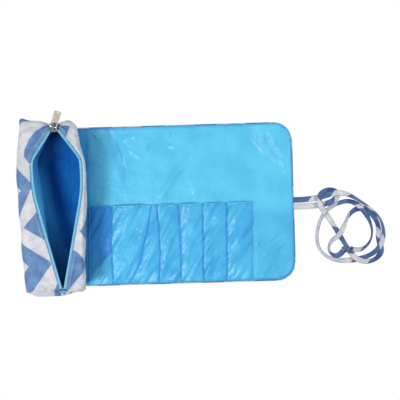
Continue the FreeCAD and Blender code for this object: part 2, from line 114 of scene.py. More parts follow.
class Look(Nodes):
    """A material with a Principled shader, and short ways to build what feeds it."""

    def __init__(self, name, **values):
        """values: inputs of the shader, with _ for a space in the name."""
        self.material = bpy.data.materials.new(name)
        self.material.use_nodes = True
        super().__init__(self.material.node_tree)
        self.shader = self.tree.nodes["Principled BSDF"]
        for socket, value in values.items():
            self.shader.inputs[socket.replace("_", " ")].default_value = value

    def feed(self, name, socket):
        """Joins a node's output to one of the shader's inputs."""
        self.tree.links.new(socket, self.shader.inputs[name])

    def math(self, operation, first, second=0.0):
        """One sum of two values."""
        return self.node("ShaderNodeMath", {0: first, 1: second}, operation=operation).outputs[0]

    def cloth(self):
        """Where on its cloth a place lies, in millimetres."""
        return self.node("ShaderNodeAttribute", attribute_name="cloth").outputs["Vector"]

    def amount(self):
        """The number a mesh carries: millimetres into the blue print, or on nylon its share of painted shade,
        or on the pouch's inside of painted light.
        """
        return self.node("ShaderNodeAttribute", attribute_name="blue").outputs["Fac"]

    def split(self, vector):
        """The node that takes a vector apart."""
        return self.node("ShaderNodeSeparateXYZ", {0: vector})

    def ramp(self, value, low, high):
        """0 below low, 1 above high, and smooth between."""
        inputs = {"Value": value, "From Min": low, "From Max": high}
        return self.node("ShaderNodeMapRange", inputs, interpolation_type="SMOOTHSTEP").outputs[0]

    def noise(self, vector, scale, detail=2.0):
        """Soft random spots, their size one over the scale."""
        inputs = {"Vector": vector, "Scale": scale, "Detail": detail}
        return self.node("ShaderNodeTexNoise", inputs).outputs["Fac"]

    def mix(self, factor, first, second):
        """The first colour where the factor is 0, and the second where it is 1."""
        return self.node("ShaderNodeMix", {0: factor, 6: first, 7: second}, data_type="RGBA").outputs[2]

    def weave(self, vector, pitch):
        """Threads over and under each other, that far apart."""
        split = self.split(vector)
        turns = 2 * math.pi / pitch
        across = self.math("SINE", self.math("MULTIPLY", split.outputs[0], turns))
        along = self.math("SINE", self.math("MULTIPLY", split.outputs[1], turns))
        return self.math("MULTIPLY", across, along)

    def bump(self, height, strength, distance):
        """Relief on top of what the shader already has."""
        inputs = {"Height": height, "Strength": strength, "Distance": distance}
        last = self.shader.inputs["Normal"]
        if last.is_linked:
            inputs["Normal"] = last.links[0].from_socket
        self.feed("Normal", self.node("ShaderNodeBump", inputs).outputs[0])


def nylon(name, bright, deep, second, roughness, gloss, drag):
    """Thin shiny nylon, a little uneven in tone, with a fine weave and creases too small to model.

    second: the colour the mesh's number mixes in: painted shade on the lining and pockets, painted light on
    the pouch's inside. drag: how strong the small creases are."""
    look = Look(name, Roughness=roughness, Specular_IOR_Level=gloss, Sheen_Weight=0.3 * gloss,
                Sheen_Roughness=0.4)
    place = look.cloth()
    tone = look.ramp(look.noise(place, 0.03, 4.0), 0.3, 0.7)
    # Painted shade, or on the pouch's inside painted light: the mesh's number mixes in the second colour.
    look.feed("Base Color", look.mix(look.amount(), look.mix(tone, deep, bright), second))
    turned = look.node("ShaderNodeMapping", {"Vector": place, "Rotation": (0, 0, 0.55)})
    drawn = look.node("ShaderNodeMapping", {"Vector": turned.outputs["Vector"], "Scale": (0.062, 0.013, 1)})
    look.bump(look.noise(drawn.outputs["Vector"], 1.0, 1.4), drag, 0.016)
    look.bump(look.noise(place, 0.09, 4.0), 0.35, 0.004)
    look.bump(look.weave(place, 0.5), 0.12, 0.0001)
    return look.material


def printed(name, blue, deep_blue, hem_start=None):
    """Woven polyester printed with blue bands on white, each with a thin slate edge.

    hem_start: how far from its middle a ribbon's painted shade along its hemmed edges begins."""
    look = Look(name, Roughness=0.62, Specular_IOR_Level=0.35, Sheen_Weight=0.2, Sheen_Roughness=0.5)
    white, pale, fleck_blue = linear(218, 216, 217), linear(190, 193, 206), linear(150, 170, 204)
    slate, edge_shade_blue = linear(92, 116, 156), linear(58, 78, 116)
    place = look.cloth()
    into_blue = look.amount()
    wash = look.ramp(look.noise(place, 0.07, 5.0), 0.3, 0.7)
    fleck = look.ramp(look.noise(place, 0.6, 3.0), 0.56, 0.7)
    ground = look.mix(look.math("MULTIPLY", fleck, 0.14), look.mix(wash, pale, white), fleck_blue)
    bands = look.mix(look.ramp(into_blue, -0.25, 0.25), ground, look.mix(wash, deep_blue, blue))
    edge = look.math("SUBTRACT", 1.0, look.ramp(look.math("ABSOLUTE", into_blue), 0.3, 0.9))
    colour = look.mix(look.math("MULTIPLY", edge, 0.3), bands, slate)
    # Painted shade: a ribbon is darkened along its hemmed edges.
    if hem_start:
        out = look.math("ABSOLUTE", look.split(place).outputs[0])
        hem = look.ramp(out, hem_start, hem_start + 0.5)
        colour = look.mix(look.math("MULTIPLY", hem, 0.75), colour, edge_shade_blue)
    look.feed("Base Color", colour)
    look.bump(look.noise(place, 0.12, 3.0), 0.25, 0.003)
    look.bump(look.weave(place, 0.6), 0.25, 0.0001)
    return look.material


def tape_cloth(name, bright, deep):
    """Herringbone zip tape."""
    look = Look(name, Roughness=0.55, Specular_IOR_Level=0.35, Sheen_Weight=0.2)
    place = look.cloth()
    look.feed("Base Color", look.mix(look.noise(place, 0.4, 3.0), deep, bright))
    look.bump(look.weave(place, 0.8), 0.4, 0.0002)
    return look.material


def plastic(name, colour, roughness):
    """Plain plastic or thread, with a slightly darker tone in places."""
    look = Look(name, Roughness=roughness, Specular_IOR_Level=0.5)
    place = look.cloth()
    darker = tuple(0.85 * channel for channel in colour[:3]) + (1.0,)
    look.feed("Base Color", look.mix(look.noise(place, 0.8, 2.0), colour, darker))
    look.bump(look.noise(place, 2.0, 2.0), 0.1, 0.0002)
    return look.material


def nickel(name, dull, bright):
    """Nickel plate with fine scratches and slight waves of the casting."""
    look = Look(name, Metallic=0.55)
    place = look.node("ShaderNodeTexCoord").outputs["Object"]
    look.feed("Base Color", look.mix(look.noise(place, 300, 3.0), dull, bright))
    scratched = look.ramp(look.noise(place, 900, 4.0), 0.2, 0.8)
    look.feed("Roughness", look.math("ADD", look.math("MULTIPLY", scratched, 0.12), 0.18))
    look.bump(look.noise(place, 420, 2.0), 0.12, 0.0004)
    return look.material


# The lining's third colour is its painted shade.
LINING = nylon("sky_nylon", linear(92, 203, 240), linear(80, 191, 232), linear(16, 116, 198),
               roughness=0.38, gloss=0.5, drag=0.22)
# The pockets' third colour is their painted shade.
POCKET = nylon("pocket_nylon", linear(80, 192, 236), linear(60, 170, 224), linear(34, 134, 218),
               roughness=0.36, gloss=0.5, drag=0.7)
# The pouch's inside is the same nylon painted far darker, as painted shade; its third colour is painted light
# below the left lip.
INSIDE = nylon("pouch_nylon_painted_shade_and_light", linear(5, 112, 192), linear(2, 90, 170), linear(88, 202, 246),
               roughness=0.6, gloss=0.1, drag=0.1)
PRINT = printed("printed_polyester", linear(104, 143, 187), linear(78, 114, 167))
THREAD = plastic("sewing_thread", linear(58, 168, 214), 0.6)
PALE_THREAD = plastic("pale_thread", linear(196, 214, 232), 0.6)
TAPE = tape_cloth("zip_tape_cloth", linear(84, 168, 204), linear(48, 132, 178))
COIL = plastic("zip_coil_nylon", linear(172, 234, 250), 0.3)
NICKEL = nickel("nickel_plate", linear(214, 208, 196), linear(236, 232, 224))
# A darker nickel for the slider.
DARK_NICKEL = nickel("dark_nickel", linear(88, 92, 102), linear(176, 180, 184))
RIBBON = printed("ribbon_polyester", linear(84, 114, 166), linear(54, 80, 132), hem_start=3.3)


# ---------------------------------------------------------------- lines and surfaces
UP = np.array([0.0, 0.0, 1.0])


def at(x, y, z=0.0):
    """Points at those coordinates."""
    return np.stack(np.broadcast_arrays(x, y, z), -1)


def rise(value, start, width):
    """0 up to the start, 1 from that width beyond it, smooth between; a negative width goes the other way."""
    share = np.clip((value - start) / width, 0, 1)
    return share * share * (3 - 2 * share)


def hump(value, width):
    """1 where the value is 0, falling away smoothly on both sides."""
    return np.exp(-(value / width) ** 2)


def run_along(line):
    """How far along a line each of its points lies."""
    steps = np.linalg.norm(np.diff(line, axis=0), axis=1)
    return np.concatenate([[0], np.cumsum(steps)])


def resampled(line, run, places):
    """A line's points, or the directions that go with them, at other distances along it."""
    return np.stack([np.interp(places, run, column) for column in line.T], -1)


def from_stretch(x, y, start, end):
    """How far places lie from a straight stretch, and the share of it that is behind the nearest point."""
    dx, dy = end[0] - start[0], end[1] - start[1]
    share = np.clip(((x - start[0]) * dx + (y - start[1]) * dy) / (dx * dx + dy * dy), 0, 1)
    return np.hypot(x - start[0] - share * dx, y - start[1] - share * dy), share


def surface_normals(top):
    """The directions square to a surface that is given as rows and columns of points."""
    normals = np.cross(np.gradient(top, axis=0), np.gradient(top, axis=1))
    return normals / np.maximum(np.linalg.norm(normals, axis=2, keepdims=True), 1e-9)


def upward(height, x, y, step=0.05):
    """The directions square to a surface that is given as a height, from its slope over a short step."""
    slope_x = (height(x + step, y) - height(x - step, y)) / (2 * step)
    slope_y = (height(x, y + step) - height(x, y - step)) / (2 * step)
    ups = at(-slope_x, -slope_y, 1.0)
    return ups / np.linalg.norm(ups, axis=-1, keepdims=True)


def surface_line(points, height, lift):
    """A line of plan points laid that far above a surface, with the surface's upward directions."""
    points = np.asarray(points, float)
    run = run_along(points)
    x, y = resampled(points, run, np.arange(0, run[-1], 1.0)).T
    return at(x, y, height(x, y) + lift), upward(height, x, y, 0.2)


def cut(line, ups, left, right):
    """The runs of a line that lie between two distances from the pouch."""
    keep = (line[:, 0] >= left) & (line[:, 0] < right)
    edges = (np.flatnonzero(np.diff(keep.astype(int))) + 1).tolist()
    return [(line[a:b], ups[a:b]) for a, b in zip([0] + edges, edges + [len(line)]) if keep[a] and b - a > 2]


def fold_height(x, y, folds):
    """Height of the creases at each place: each has a line, a half width and a height."""
    total = np.zeros(np.broadcast(x, y).shape)
    for line, width, height in folds:
        points = np.array(line, float)
        run = run_along(points)
        best = np.full(total.shape, np.inf)
        where = np.zeros(total.shape)
        for start, end, behind, ahead in zip(points, points[1:], run, run[1:]):
            away, share = from_stretch(x, y, start, end)
            closer = away < best
            best = np.where(closer, away, best)
            where = np.where(closer, behind + share * (ahead - behind), where)
        taper = rise(where, 0, 0.3 * run[-1]) * rise(where, run[-1], -0.35 * run[-1])
        total += height * hump(best, width) * (0.12 + 0.88 * taper)
    return total


def undulation(x, y):
    """The slow waves of cloth that has been rolled up."""
    return (0.45 * np.sin(x / 17.0 + 0.9 * np.sin(y / 43.0)) + 0.35 * np.sin(y / 21.0 + x / 61.0)
            + 0.18 * np.sin(x / 7.3 - y / 11.0))


# ---------------------------------------------------------------- print
# The regular zigzag: length of a turn, how far it swings, width of a band, and from one band to the next.
ZIGZAG_PERIOD = 98.0
ZIGZAG_REACH = 56.0
BAND = 30.5
REPEAT = 72.5
SQUARE_TO_BAND = 0.66


def zigzag(across, along):
    """How far a place lies inside the blue of the regular print; below zero in the white."""
    leg = np.abs(((along / ZIGZAG_PERIOD) % 1.0) * 2 - 1) * ZIGZAG_REACH
    run = (across - leg) % REPEAT
    inner = np.minimum(run, BAND - run)
    return np.where(run > (REPEAT + BAND) / 2, run - REPEAT, inner) * SQUARE_TO_BAND


def inside_outline(across, along, outline):
    """Signed distance to a closed outline, above zero inside."""
    nearest = np.full(across.shape, np.inf)
    within = np.zeros(across.shape, bool)
    for start, end in zip(outline, outline[1:] + outline[:1]):
        nearest = np.minimum(nearest, from_stretch(across, along, start, end)[0])
        (x0, y0), (x1, y1) = start, end
        if y1 != y0:
            crosses = ((y0 > along) != (y1 > along)) & (across < (x1 - x0) * (along - y0) / (y1 - y0) + x0)
            within ^= crosses
    return np.where(within, nearest, -nearest)


# ---------------------------------------------------------------- meshes
def capsule(sides=6, shoulder=0.7):
    """A small rounded bar along X, from -1 to 1, for stitches and teeth."""
    verts = [(-1, 0, 0)]
    for x in (-shoulder, shoulder):
        for k in range(sides):
            angle = 2 * math.pi * k / sides
            verts.append((x, math.cos(angle), math.sin(angle)))
    verts.append((1, 0, 0))
    faces = []
    for k in range(sides):
        a, b = 1 + k, 1 + (k + 1) % sides
        faces += [(0, b, a), (a, b, b + sides, a + sides), (a + sides, b + sides, 1 + 2 * sides)]
    return np.array(verts, float), faces


STITCH, STITCH_FACES = capsule()
STITCH_RISE, STITCH_FLATNESS = 0.35, 0.7


class Piece:
    """One object's mesh, gathered from shells, bars and stitches in millimetres."""

    def __init__(self):
        """An empty mesh."""
        self.verts, self.cloth, self.blue, self.normals = [], [], [], []
        self.faces, self.slots = [], []
        self.count = 0

    def add(self, verts, faces, slot=0, cloth=None, blue=0.0, normals=None):
        """Points and faces. slot: which material; cloth and blue: the numbers the looks read."""
        verts = np.asarray(verts, float).reshape(-1, 3)
        self.verts.append(verts)
        self.cloth.append(verts if cloth is None else np.asarray(cloth, float).reshape(-1, 3))
        self.blue.append(np.broadcast_to(np.asarray(blue, float).ravel(), (len(verts),)))
        self.normals.append(np.zeros((len(verts), 3)) if normals is None else normals.reshape(-1, 3))
        self.faces += [[index + self.count for index in face] for face in faces]
        self.slots += [slot] * len(faces)
        self.count += len(verts)

    def shell(self, top, thickness, cloth=None, blue=0.0, normals=None):
        """A closed sheet with that top surface and thickness."""
        rows, columns = top.shape[:2]
        cloth = top if cloth is None else cloth
        normals = surface_normals(top) if normals is None else np.broadcast_to(normals, top.shape)
        index = np.arange(rows * columns).reshape(rows, columns)
        under = index + rows * columns
        upper = np.stack([index[:-1, :-1], index[1:, :-1], index[1:, 1:], index[:-1, 1:]], -1).reshape(-1, 4)
        lower = upper[:, ::-1] + rows * columns
        rims = [(index[0], under[0]), (under[-1], index[-1]),
                (under[:, 0], index[:, 0]), (index[:, -1], under[:, -1])]
        rims = [np.stack([a[:-1], a[1:], b[1:], b[:-1]], -1) for a, b in rims]
        blue = np.broadcast_to(np.asarray(blue, float), (rows, columns))
        self.add(np.stack([top, top - normals * thickness]), np.concatenate([upper, lower, *rims]).tolist(),
                 0, np.stack([cloth, cloth]), np.stack([blue, blue]), np.stack([normals, -normals]))

    def stitches(self, line, ups, pitch, length, radius):
        """Stitches in the second material, along a line on a surface with those upward directions."""
        run = run_along(line)
        for place in np.arange(pitch / 2, run[-1] - pitch / 4, pitch):
            back, middle, front = resampled(line, run, place + np.array([-1, 0, 1]) * length / 2)
            ahead = front - back
            size = np.linalg.norm(ahead)
            if size < length / 2:
                continue
            ahead /= size
            up = resampled(ups, run, place)
            aside = np.cross(up, ahead)
            lump = STITCH[:, :1] * ahead * length / 2 + STITCH[:, 1:2] * aside * radius
            lump += (STITCH[:, 2:] + STITCH_RISE) * up * radius * STITCH_FLATNESS
            self.add(middle + lump, STITCH_FACES, 1)

    def build(self, name, materials, own_normals=True):
        """The finished object. own_normals: it is shaded by the normals its shells were given."""
        mesh = bpy.data.meshes.new(name)
        mesh.from_pydata((np.concatenate(self.verts) * MM).tolist(), [], self.faces)
        for material in materials:
            mesh.materials.append(material)
        mesh.polygons.foreach_set("material_index", self.slots)
        mesh.polygons.foreach_set("use_smooth", [True] * len(self.faces))
        cloth = mesh.attributes.new("cloth", "FLOAT_VECTOR", "POINT")
        cloth.data.foreach_set("vector", np.concatenate(self.cloth).astype(np.float32).ravel())
        # On nylon this number is painted shade, or on the pouch's inside painted light; on printed cloth it
        # is the print.
        blue = mesh.attributes.new("blue", "FLOAT", "POINT")
        blue.data.foreach_set("value", np.concatenate(self.blue).astype(np.float32))
        mesh.update()
        if own_normals:
            mesh.set_sharp_from_angle(angle=math.radians(60))
            mesh.normals_split_custom_set_from_vertices(np.concatenate(self.normals).tolist())
        obj = bpy.data.objects.new(name, mesh)
        scene.collection.objects.link(obj)
        return obj


def one_sheet(name, material, top, own_normals=True, **more):
    """An object that is a single shell in one material."""
    piece = Piece()
    piece.shell(top, **more)
    return piece.build(name, [material], own_normals)


# ---------------------------------------------------------------- flap
FOLDS = [joint_place(f"flap_fold_{number}")[0] for number in range(1, 10)]
STRIPS = len(FOLDS)
FREE_EDGE = node_box("flap_lining_9")[1][0]
FLAP_LOW, FLAP_HIGH = -108.2, 112.2
CORNER = 26.0
# From the pouch's middle: where the flap's cloth starts, where the pouch's foot and the pockets end.
FLAP_START, FOOT, POCKETS_END = 17.5, 32.0, 262.0
LINING_LEVEL, LINING_LOWEST = 2.75, 1.3
LINING_INSET, TOPSTITCH_INSET = 1.3, 3.6
# Each crease: its line, half width and height.
LINING_FOLDS = [
    ([(68.5, 106), (73, 89.3), (78.9, 73.6), (82.7, 54), (85, 35.5)], 3.5, -1.2),
    ([(75.5, 106), (80, 90), (86, 74), (90, 54)], 4, 0.8),
    ([(129.8, 4.9), (140, 18.3), (154.2, 40.2), (169.3, 57.3), (177.4, 66.8)], 5, 1.4),
    ([(136, 2), (147, 16), (161, 37), (175, 53)], 5.5, -0.2),
    ([(176, 60), (196, 84), (214, 104)], 3.6, 0.6),
    ([(214, 78), (236, 96)], 3, 0.4),
    ([(186, 5), (180, 26), (176, 40)], 2.2, 0.4),
    ([(124.5, 87.8), (117.2, 71.5)], 1.6, 0.7),
    ([(154.2, 104.4), (151.8, 87.9)], 1.8, 0.7),
    ([(147.8, 85.1), (156.4, 80.5), (162.3, 81.8)], 1.5, 0.5),
    ([(38.5, 104.9), (43, 94.1)], 1.5, 0.6),
    ([(44.3, 104.7), (51.8, 95.8)], 1.5, 0.6),
    ([(82.8, 91.9), (98.6, 98.3), (114, 93)], 3, 0.5),
    ([(94.1, 79), (108.4, 68.8), (113.3, 69.6)], 2.5, 0.5),
    ([(273, 105.5), (278, 92.6), (283, 79), (292.6, 64.4), (303.3, 51), (310.8, 40.8)], 2.6, -1),
    ([(280, 105), (285.5, 92), (291, 80), (299, 67), (307, 55)], 3.2, 0.9),
    ([(262, 103), (268, 88), (280, 72), (291, 57)], 3, 0.6),
    ([(275.6, -46.6), (265.1, -59.5)], 2, 0.5),
    ([(310.3, -42.6), (284.4, -58.1), (268.9, -67.8)], 5, -0.9),
    ([(312, -50), (288, -65), (270, -76)], 4, 0.7),
    ([(298.9, -86), (288.5, -91.8)], 1.5, 0.5),
    ([(270.9, 1.3), (266.6, -8.7)], 2, 0.4),
]
# The same for the pocket cloth.
POCKET_FOLDS = [
    ([(124.9, -14.8), (116.8, -36), (112.7, -50.7)], 2, 0.8),
    ([(152.9, -38.9), (144.9, -59.1), (139.9, -71)], 1.8, 1),
    ([(107.9, -23.6), (100.1, -35.5)], 1.5, 0.5),
    ([(98.1, -71.6), (92.1, -85.4)], 1.5, -0.5),
    ([(173.3, -71.1), (167.1, -92.2)], 1.8, 0.8),
    ([(191.8, -60.4), (177, -80.3), (169.6, -91.3)], 1.8, 1),
    ([(207.7, -73.1), (197.1, -89.1)], 1.6, 0.8),
    ([(224.7, -48.2), (218.1, -66.3), (207.6, -78.2)], 1.6, 0.8),
    ([(242.3, -71.1), (228.8, -82.9)], 1.8, 0.9),
    ([(206, -29.3), (197.4, -43.3)], 1.6, 0.6),
    ([(236.7, -90.2), (231.2, -104.3)], 1.6, 0.6),
    ([(223.3, -96.9), (217, -103.9)], 1.4, 0.6),
    ([(203.3, -51.6), (195.7, -66.6)], 1.5, 0.6),
    ([(232.9, -48.4), (228.6, -54.4)], 1.5, 0.6),
]


def flap_rim_distance(x, y):
    """How far inside the flap's free edges a place lies."""
    out_x = x - (FREE_EDGE - CORNER)
    out_y = np.abs(y - (FLAP_LOW + FLAP_HIGH) / 2) - ((FLAP_HIGH - FLAP_LOW) / 2 - CORNER)
    corner = np.hypot(np.maximum(out_x, 0), np.maximum(out_y, 0))
    return CORNER - corner - np.minimum(np.maximum(out_x, out_y), 0)


def lining_height(x, y):
    """The lining: flat below the pockets, wavy and creased elsewhere, rounded down to its seam at the rim."""
    inside = flap_rim_distance(x, y)
    plain = rise(y, 1, 10) + rise(x, POCKETS_END, 6)
    plain = np.clip(plain, 0, 1) * rise(inside, 0, 9) * rise(x, 40, 8)
    rim_puckers = np.maximum(0, np.sin(x * 0.55 + y * 0.11)) * hump(inside - 6.0, 3.0)
    height = LINING_LEVEL + 0.45 * plain * undulation(x, y) + 2.3 * plain * fold_height(x, y, LINING_FOLDS)
    height += 0.35 * plain * rim_puckers
    height -= 1.35 * hump(inside, 1.6) + 0.5 * hump(inside - TOPSTITCH_INSET, 0.7)
    height -= 1.2 * (1 - rise(x, FOOT, 6))
    return np.maximum(height, LINING_LOWEST)


def lining_shade(x, y):
    """Painted shade on the lining: at its rim, beside the pouch, along its deepest crease and right of the
    pockets.
    """
    shade = 0.95 * hump(flap_rim_distance(x, y), 3.0)
    shade = np.maximum(shade, 0.8 * rise(y, 6, -8) * rise(x, 42, -4))
    crease = x - 66.0 - (104.0 - y) * 0.3
    shade += 0.3 * hump(crease, 6.0) * rise(y, 10, 40)
    shade = np.maximum(shade, 0.6 * rise(x, 60, -30) * rise(y, -4, 6))
    return shade + 0.2 * rise(x, POCKETS_END, 8) * rise(y, -4, -14)


def flap_grid(start, end, step, inset=0.0):
    """Places over the whole flap between two distances, its rows drawn in at the round corners."""
    x = np.linspace(start, end, max(2, int(round((end - start) / step)) + 1))
    radius = CORNER - inset
    into = np.clip(x - (FREE_EDGE - inset - radius), 0, radius)
    draw = radius - np.sqrt(np.maximum(radius ** 2 - into ** 2, 0))
    share = np.linspace(0, 1, int((FLAP_HIGH - FLAP_LOW) / step) + 1)
    low, high = FLAP_LOW + inset + draw, FLAP_HIGH - inset - draw
    y = low[:, None] + (high - low)[:, None] * share
    return np.broadcast_to(x[:, None], y.shape), y


def fold_spans(first, last, start, end):
    """The stretch of the flap that bends at each fold, from the middle of one strip to the next."""
    middles = [(FOLDS[k] + FOLDS[k + 1]) / 2 for k in range(STRIPS - 1)]
    for number in range(first, last + 1):
        left = start if number == first else middles[number - 2]
        right = end if number == last else middles[number - 1]
        yield number, left, right


def lay_flat(obj, number, slot, nodes, size, **more):
    """Bakes a sheet's place at its fold between two strips into its mesh and hides those CAD nodes, which it
    stands for. size: not used.
    """
    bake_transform(obj)
    if nodes:
        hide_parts(*nodes)


def flap_outline(inset):
    """The flap's free edges, set in, from the top left corner round to the bottom left."""
    radius = CORNER - inset
    right, high, low = FREE_EDGE - inset, FLAP_HIGH - inset, FLAP_LOW + inset
    points = [(FLAP_START, high)]
    for middle, turns in ((high - radius, (90, 0)), (low + radius, (0, -90))):
        for turn in np.radians(np.linspace(*turns, 10)):
            points.append((right - radius + radius * math.cos(turn), middle + radius * math.sin(turn)))
    return points + [(FLAP_START, low)]


def make_flap_lining(number, left, right, topstitch):
    """The lining's piece at one fold, with its share of the stitches round the flap."""
    piece = Piece()
    x, y = flap_grid(left, right - (LINING_INSET if number == STRIPS else 0), 1.6, LINING_INSET)
    piece.shell(at(x, y, lining_height(x, y)), thickness=0.4, cloth=at(x, y), blue=lining_shade(x, y),
                normals=upward(lining_height, x, y))
    for line, ups in cut(*topstitch, left, right):
        piece.stitches(line, ups, pitch=3.0, length=2.1, radius=0.28)
    lining = piece.build(f"flap_lining_sheet_{number}", [LINING, THREAD])
    lay_flat(lining, number, "lining_nylon", [f"flap_lining_{number}"], (right - left, FLAP_HIGH - FLAP_LOW),
             rests_on=[f"flap_outer_sheet_{number}"])


def make_flap_outer(number, left, right):
    """The printed cloth's piece at one fold, with the piping round the flap's edge."""
    x, y = flap_grid(left, right, step=2.4)
    inside = flap_rim_distance(x, y)
    z = 1.0 + 0.75 * hump(inside - 1.0, 0.7) - 0.4 * hump(inside, 0.5)
    top = at(x, y, np.maximum(z - 0.3 * (1 - rise(x, FOOT, 6)), 0.67))
    outer = one_sheet(f"flap_outer_sheet_{number}", PRINT, top, False, thickness=0.65, cloth=at(x, y),
                      blue=zigzag(x, y), normals=UP)
    nodes = [f"flap_outer_{number}", f"flap_wadding_{number}"] + (["flap_seam_strip"] if number == 1 else [])
    lay_flat(outer, number, "printed_cloth", nodes, (right - left, FLAP_HIGH - FLAP_LOW))


def make_flap():
    """Lining and printed cloth of the flap, a piece of each for each fold."""
    topstitch = surface_line(flap_outline(TOPSTITCH_INSET), lining_height, 0.15)
    for number, left, right in fold_spans(1, STRIPS, FLAP_START, FREE_EDGE):
        make_flap_lining(number, left, right, topstitch)
        make_flap_outer(number, left, right)


# ---------------------------------------------------------------- brush pockets
POCKET_LOW, POCKET_HIGH = -105.0, 2.6
# Each seam from the pockets' mouth to their foot: how high on the flap, and how far from the pouch.
SEAMS = [
    [(2.6, 38.6), (-101.3, 36.2), (-105, 36.1)],
    [(2.6, 68.8), (-50, 66), (-105, 67.5)],
    [(2.6, 123.6), (-35.9, 115.9), (-62.6, 108.6), (-76.5, 105), (-92.9, 96.6), (-105, 90.5)],
    [(2.6, 130.6), (-50, 133.3), (-68, 133.4), (-105, 130.6)],
    [(2.6, 160.1), (-60, 162.2), (-105, 161.2)],
    [(2.6, 194.1), (-105, 192.5)],
    [(2.6, 227.2), (-105, 225.1)],
    [(2.6, 262.2), (-105, 259.3)],
]
POCKETS = len(SEAMS) - 1
SINGLE_SEAM = 2
POCKET_MARGIN = 2.2
POCKET_LEVEL, POCKET_LOWEST = 3.3, 3.2
FOOT_HEM, MOUTH_HEM = POCKET_LOW + 1.4, POCKET_HIGH - 3.0


def seam_place(number, y):
    """How far from the pouch a seam lies, at a height on the flap."""
    heights, places = np.array(SEAMS[number])[::-1].T
    return np.interp(y, heights, places)


def pocket_height(x, y):
    """The pocket cloth: down at the seams, raised between them, with a hem at the mouth."""
    level = POCKET_LEVEL + np.zeros(np.broadcast(x, y).shape)
    puffed = rise(y, POCKET_LOW, 16) * (0.72 + 0.28 * rise(y, -60, 50))
    for number in range(POCKETS):
        left, right = seam_place(number, y), seam_place(number + 1, y)
        share = np.clip((x - left) / (right - left), 0, 1)
        crown = np.sin(np.pi * share ** 0.72) ** 0.85
        level += 2.9 * puffed * crown * np.clip((right - left) / 32.0, 0.15, 1.25)
    for number in range(len(SEAMS)):
        away = np.abs(x - seam_place(number, y))
        pucker = 0.5 + 0.5 * np.sin(y / 1.7 + number + 2.4 * np.sin(y / 7.3 + 1.9 * number))
        level -= 0.3 * hump(away, 0.9) - 0.1 * pucker * hump(away - 2.2, 1.4)
    raised = np.clip((level - 3.6) / 1.0, 0, 1)
    level += 1.7 * raised * fold_height(x, y, POCKET_FOLDS)
    level += 0.45 * raised * undulation(x * 1.4, y * 1.2)
    creased = rise(x, 100, 30) * rise(y, -8, -20)
    slant = x * 0.82 - y * 0.57
    creases = np.sin(slant / 2.4 + 1.4 * np.sin(y / 14.0)) * np.sin(y / 27.0 + x / 19.0)
    level += 0.42 * creased * raised * creases
    level += 0.35 * np.exp(-((y - POCKET_HIGH + 1.2) / 1.2) ** 4)
    level -= 0.15 * hump(y - MOUTH_HEM, 0.5)
    return np.maximum(level, POCKET_LOWEST)


def pocket_shade(x, y):
    """Painted shade on the pocket cloth: beside the pouch, and to the left of each seam."""
    beside_pouch = 1 - rise(x, seam_place(1, y) - 1.5, 2)
    shade = 0.85 * beside_pouch * rise(y - x, -134, 9)
    for number in range(1, len(SEAMS)):
        away = x - seam_place(number, y)
        behind = hump(away + 0.7, 1.2) + 0.25 * np.exp(np.minimum(away, 0) / 9.0) * (away < 0)
        shade = np.maximum(shade, behind * (0.75 if number < POCKETS else 0.2))
    return shade


def pocket_grid(number, left, right):
    """Places over one piece of the pocket cloth; its outer edges follow the first and the last seam."""
    y = np.linspace(POCKET_LOW, POCKET_HIGH, 84)
    share = np.linspace(0, 1, max(3, int((right - left) / 1.1) + 1))[:, None]
    start = seam_place(0, y) - POCKET_MARGIN if number == 1 else np.full_like(y, left)
    end = seam_place(POCKETS, y) + POCKET_MARGIN if number == POCKETS + 1 else np.full_like(y, right)
    x = start + (end - start) * share
    return x, np.broadcast_to(y, x.shape)


def pocket_stitching():
    """Stitch lines on the pockets: two along each seam but one, and the hems at foot and mouth."""
    y = np.linspace(POCKET_HIGH - 0.5, POCKET_LOW + 0.6, 80)
    plans = []
    for number in range(len(SEAMS)):
        for side in ((0.0,) if number == SINGLE_SEAM else (-0.55, 0.55)):
            plans.append(np.stack([seam_place(number, y) + side, y], 1))
    hems = [(36.4, FOOT_HEM), (259.3, FOOT_HEM)], [(39.5, MOUTH_HEM), (POCKETS_END, MOUTH_HEM)]
    return [surface_line(plan, pocket_height, 0.05) for plan in (*plans, *hems)]


def make_pockets():
    """Seven pockets in one cloth, a piece for each fold line."""
    stitching = pocket_stitching()
    start, end = SEAMS[0][-1][1] - POCKET_MARGIN, SEAMS[-1][0][1] + POCKET_MARGIN
    for number, left, right in fold_spans(1, POCKETS + 1, start, end):
        piece = Piece()
        x, y = pocket_grid(number, left, right)
        piece.shell(at(x, y, pocket_height(x, y)), thickness=0.35, cloth=at(x, y), blue=pocket_shade(x, y),
                    normals=upward(pocket_height, x, y))
        for seam in stitching:
            for line, ups in cut(*seam, left, right):
                piece.stitches(line, ups, pitch=2.8, length=2.0, radius=0.26)
        cloth = piece.build(f"pocket_cloth_{number}", [POCKET, THREAD])
        nodes = [f"brush_pocket_{number}"] if number <= POCKETS else []
        lay_flat(cloth, number, "lining_nylon", nodes, (right - left, POCKET_HIGH - POCKET_LOW),
                 rests_on=[f"flap_lining_sheet_{number}"])


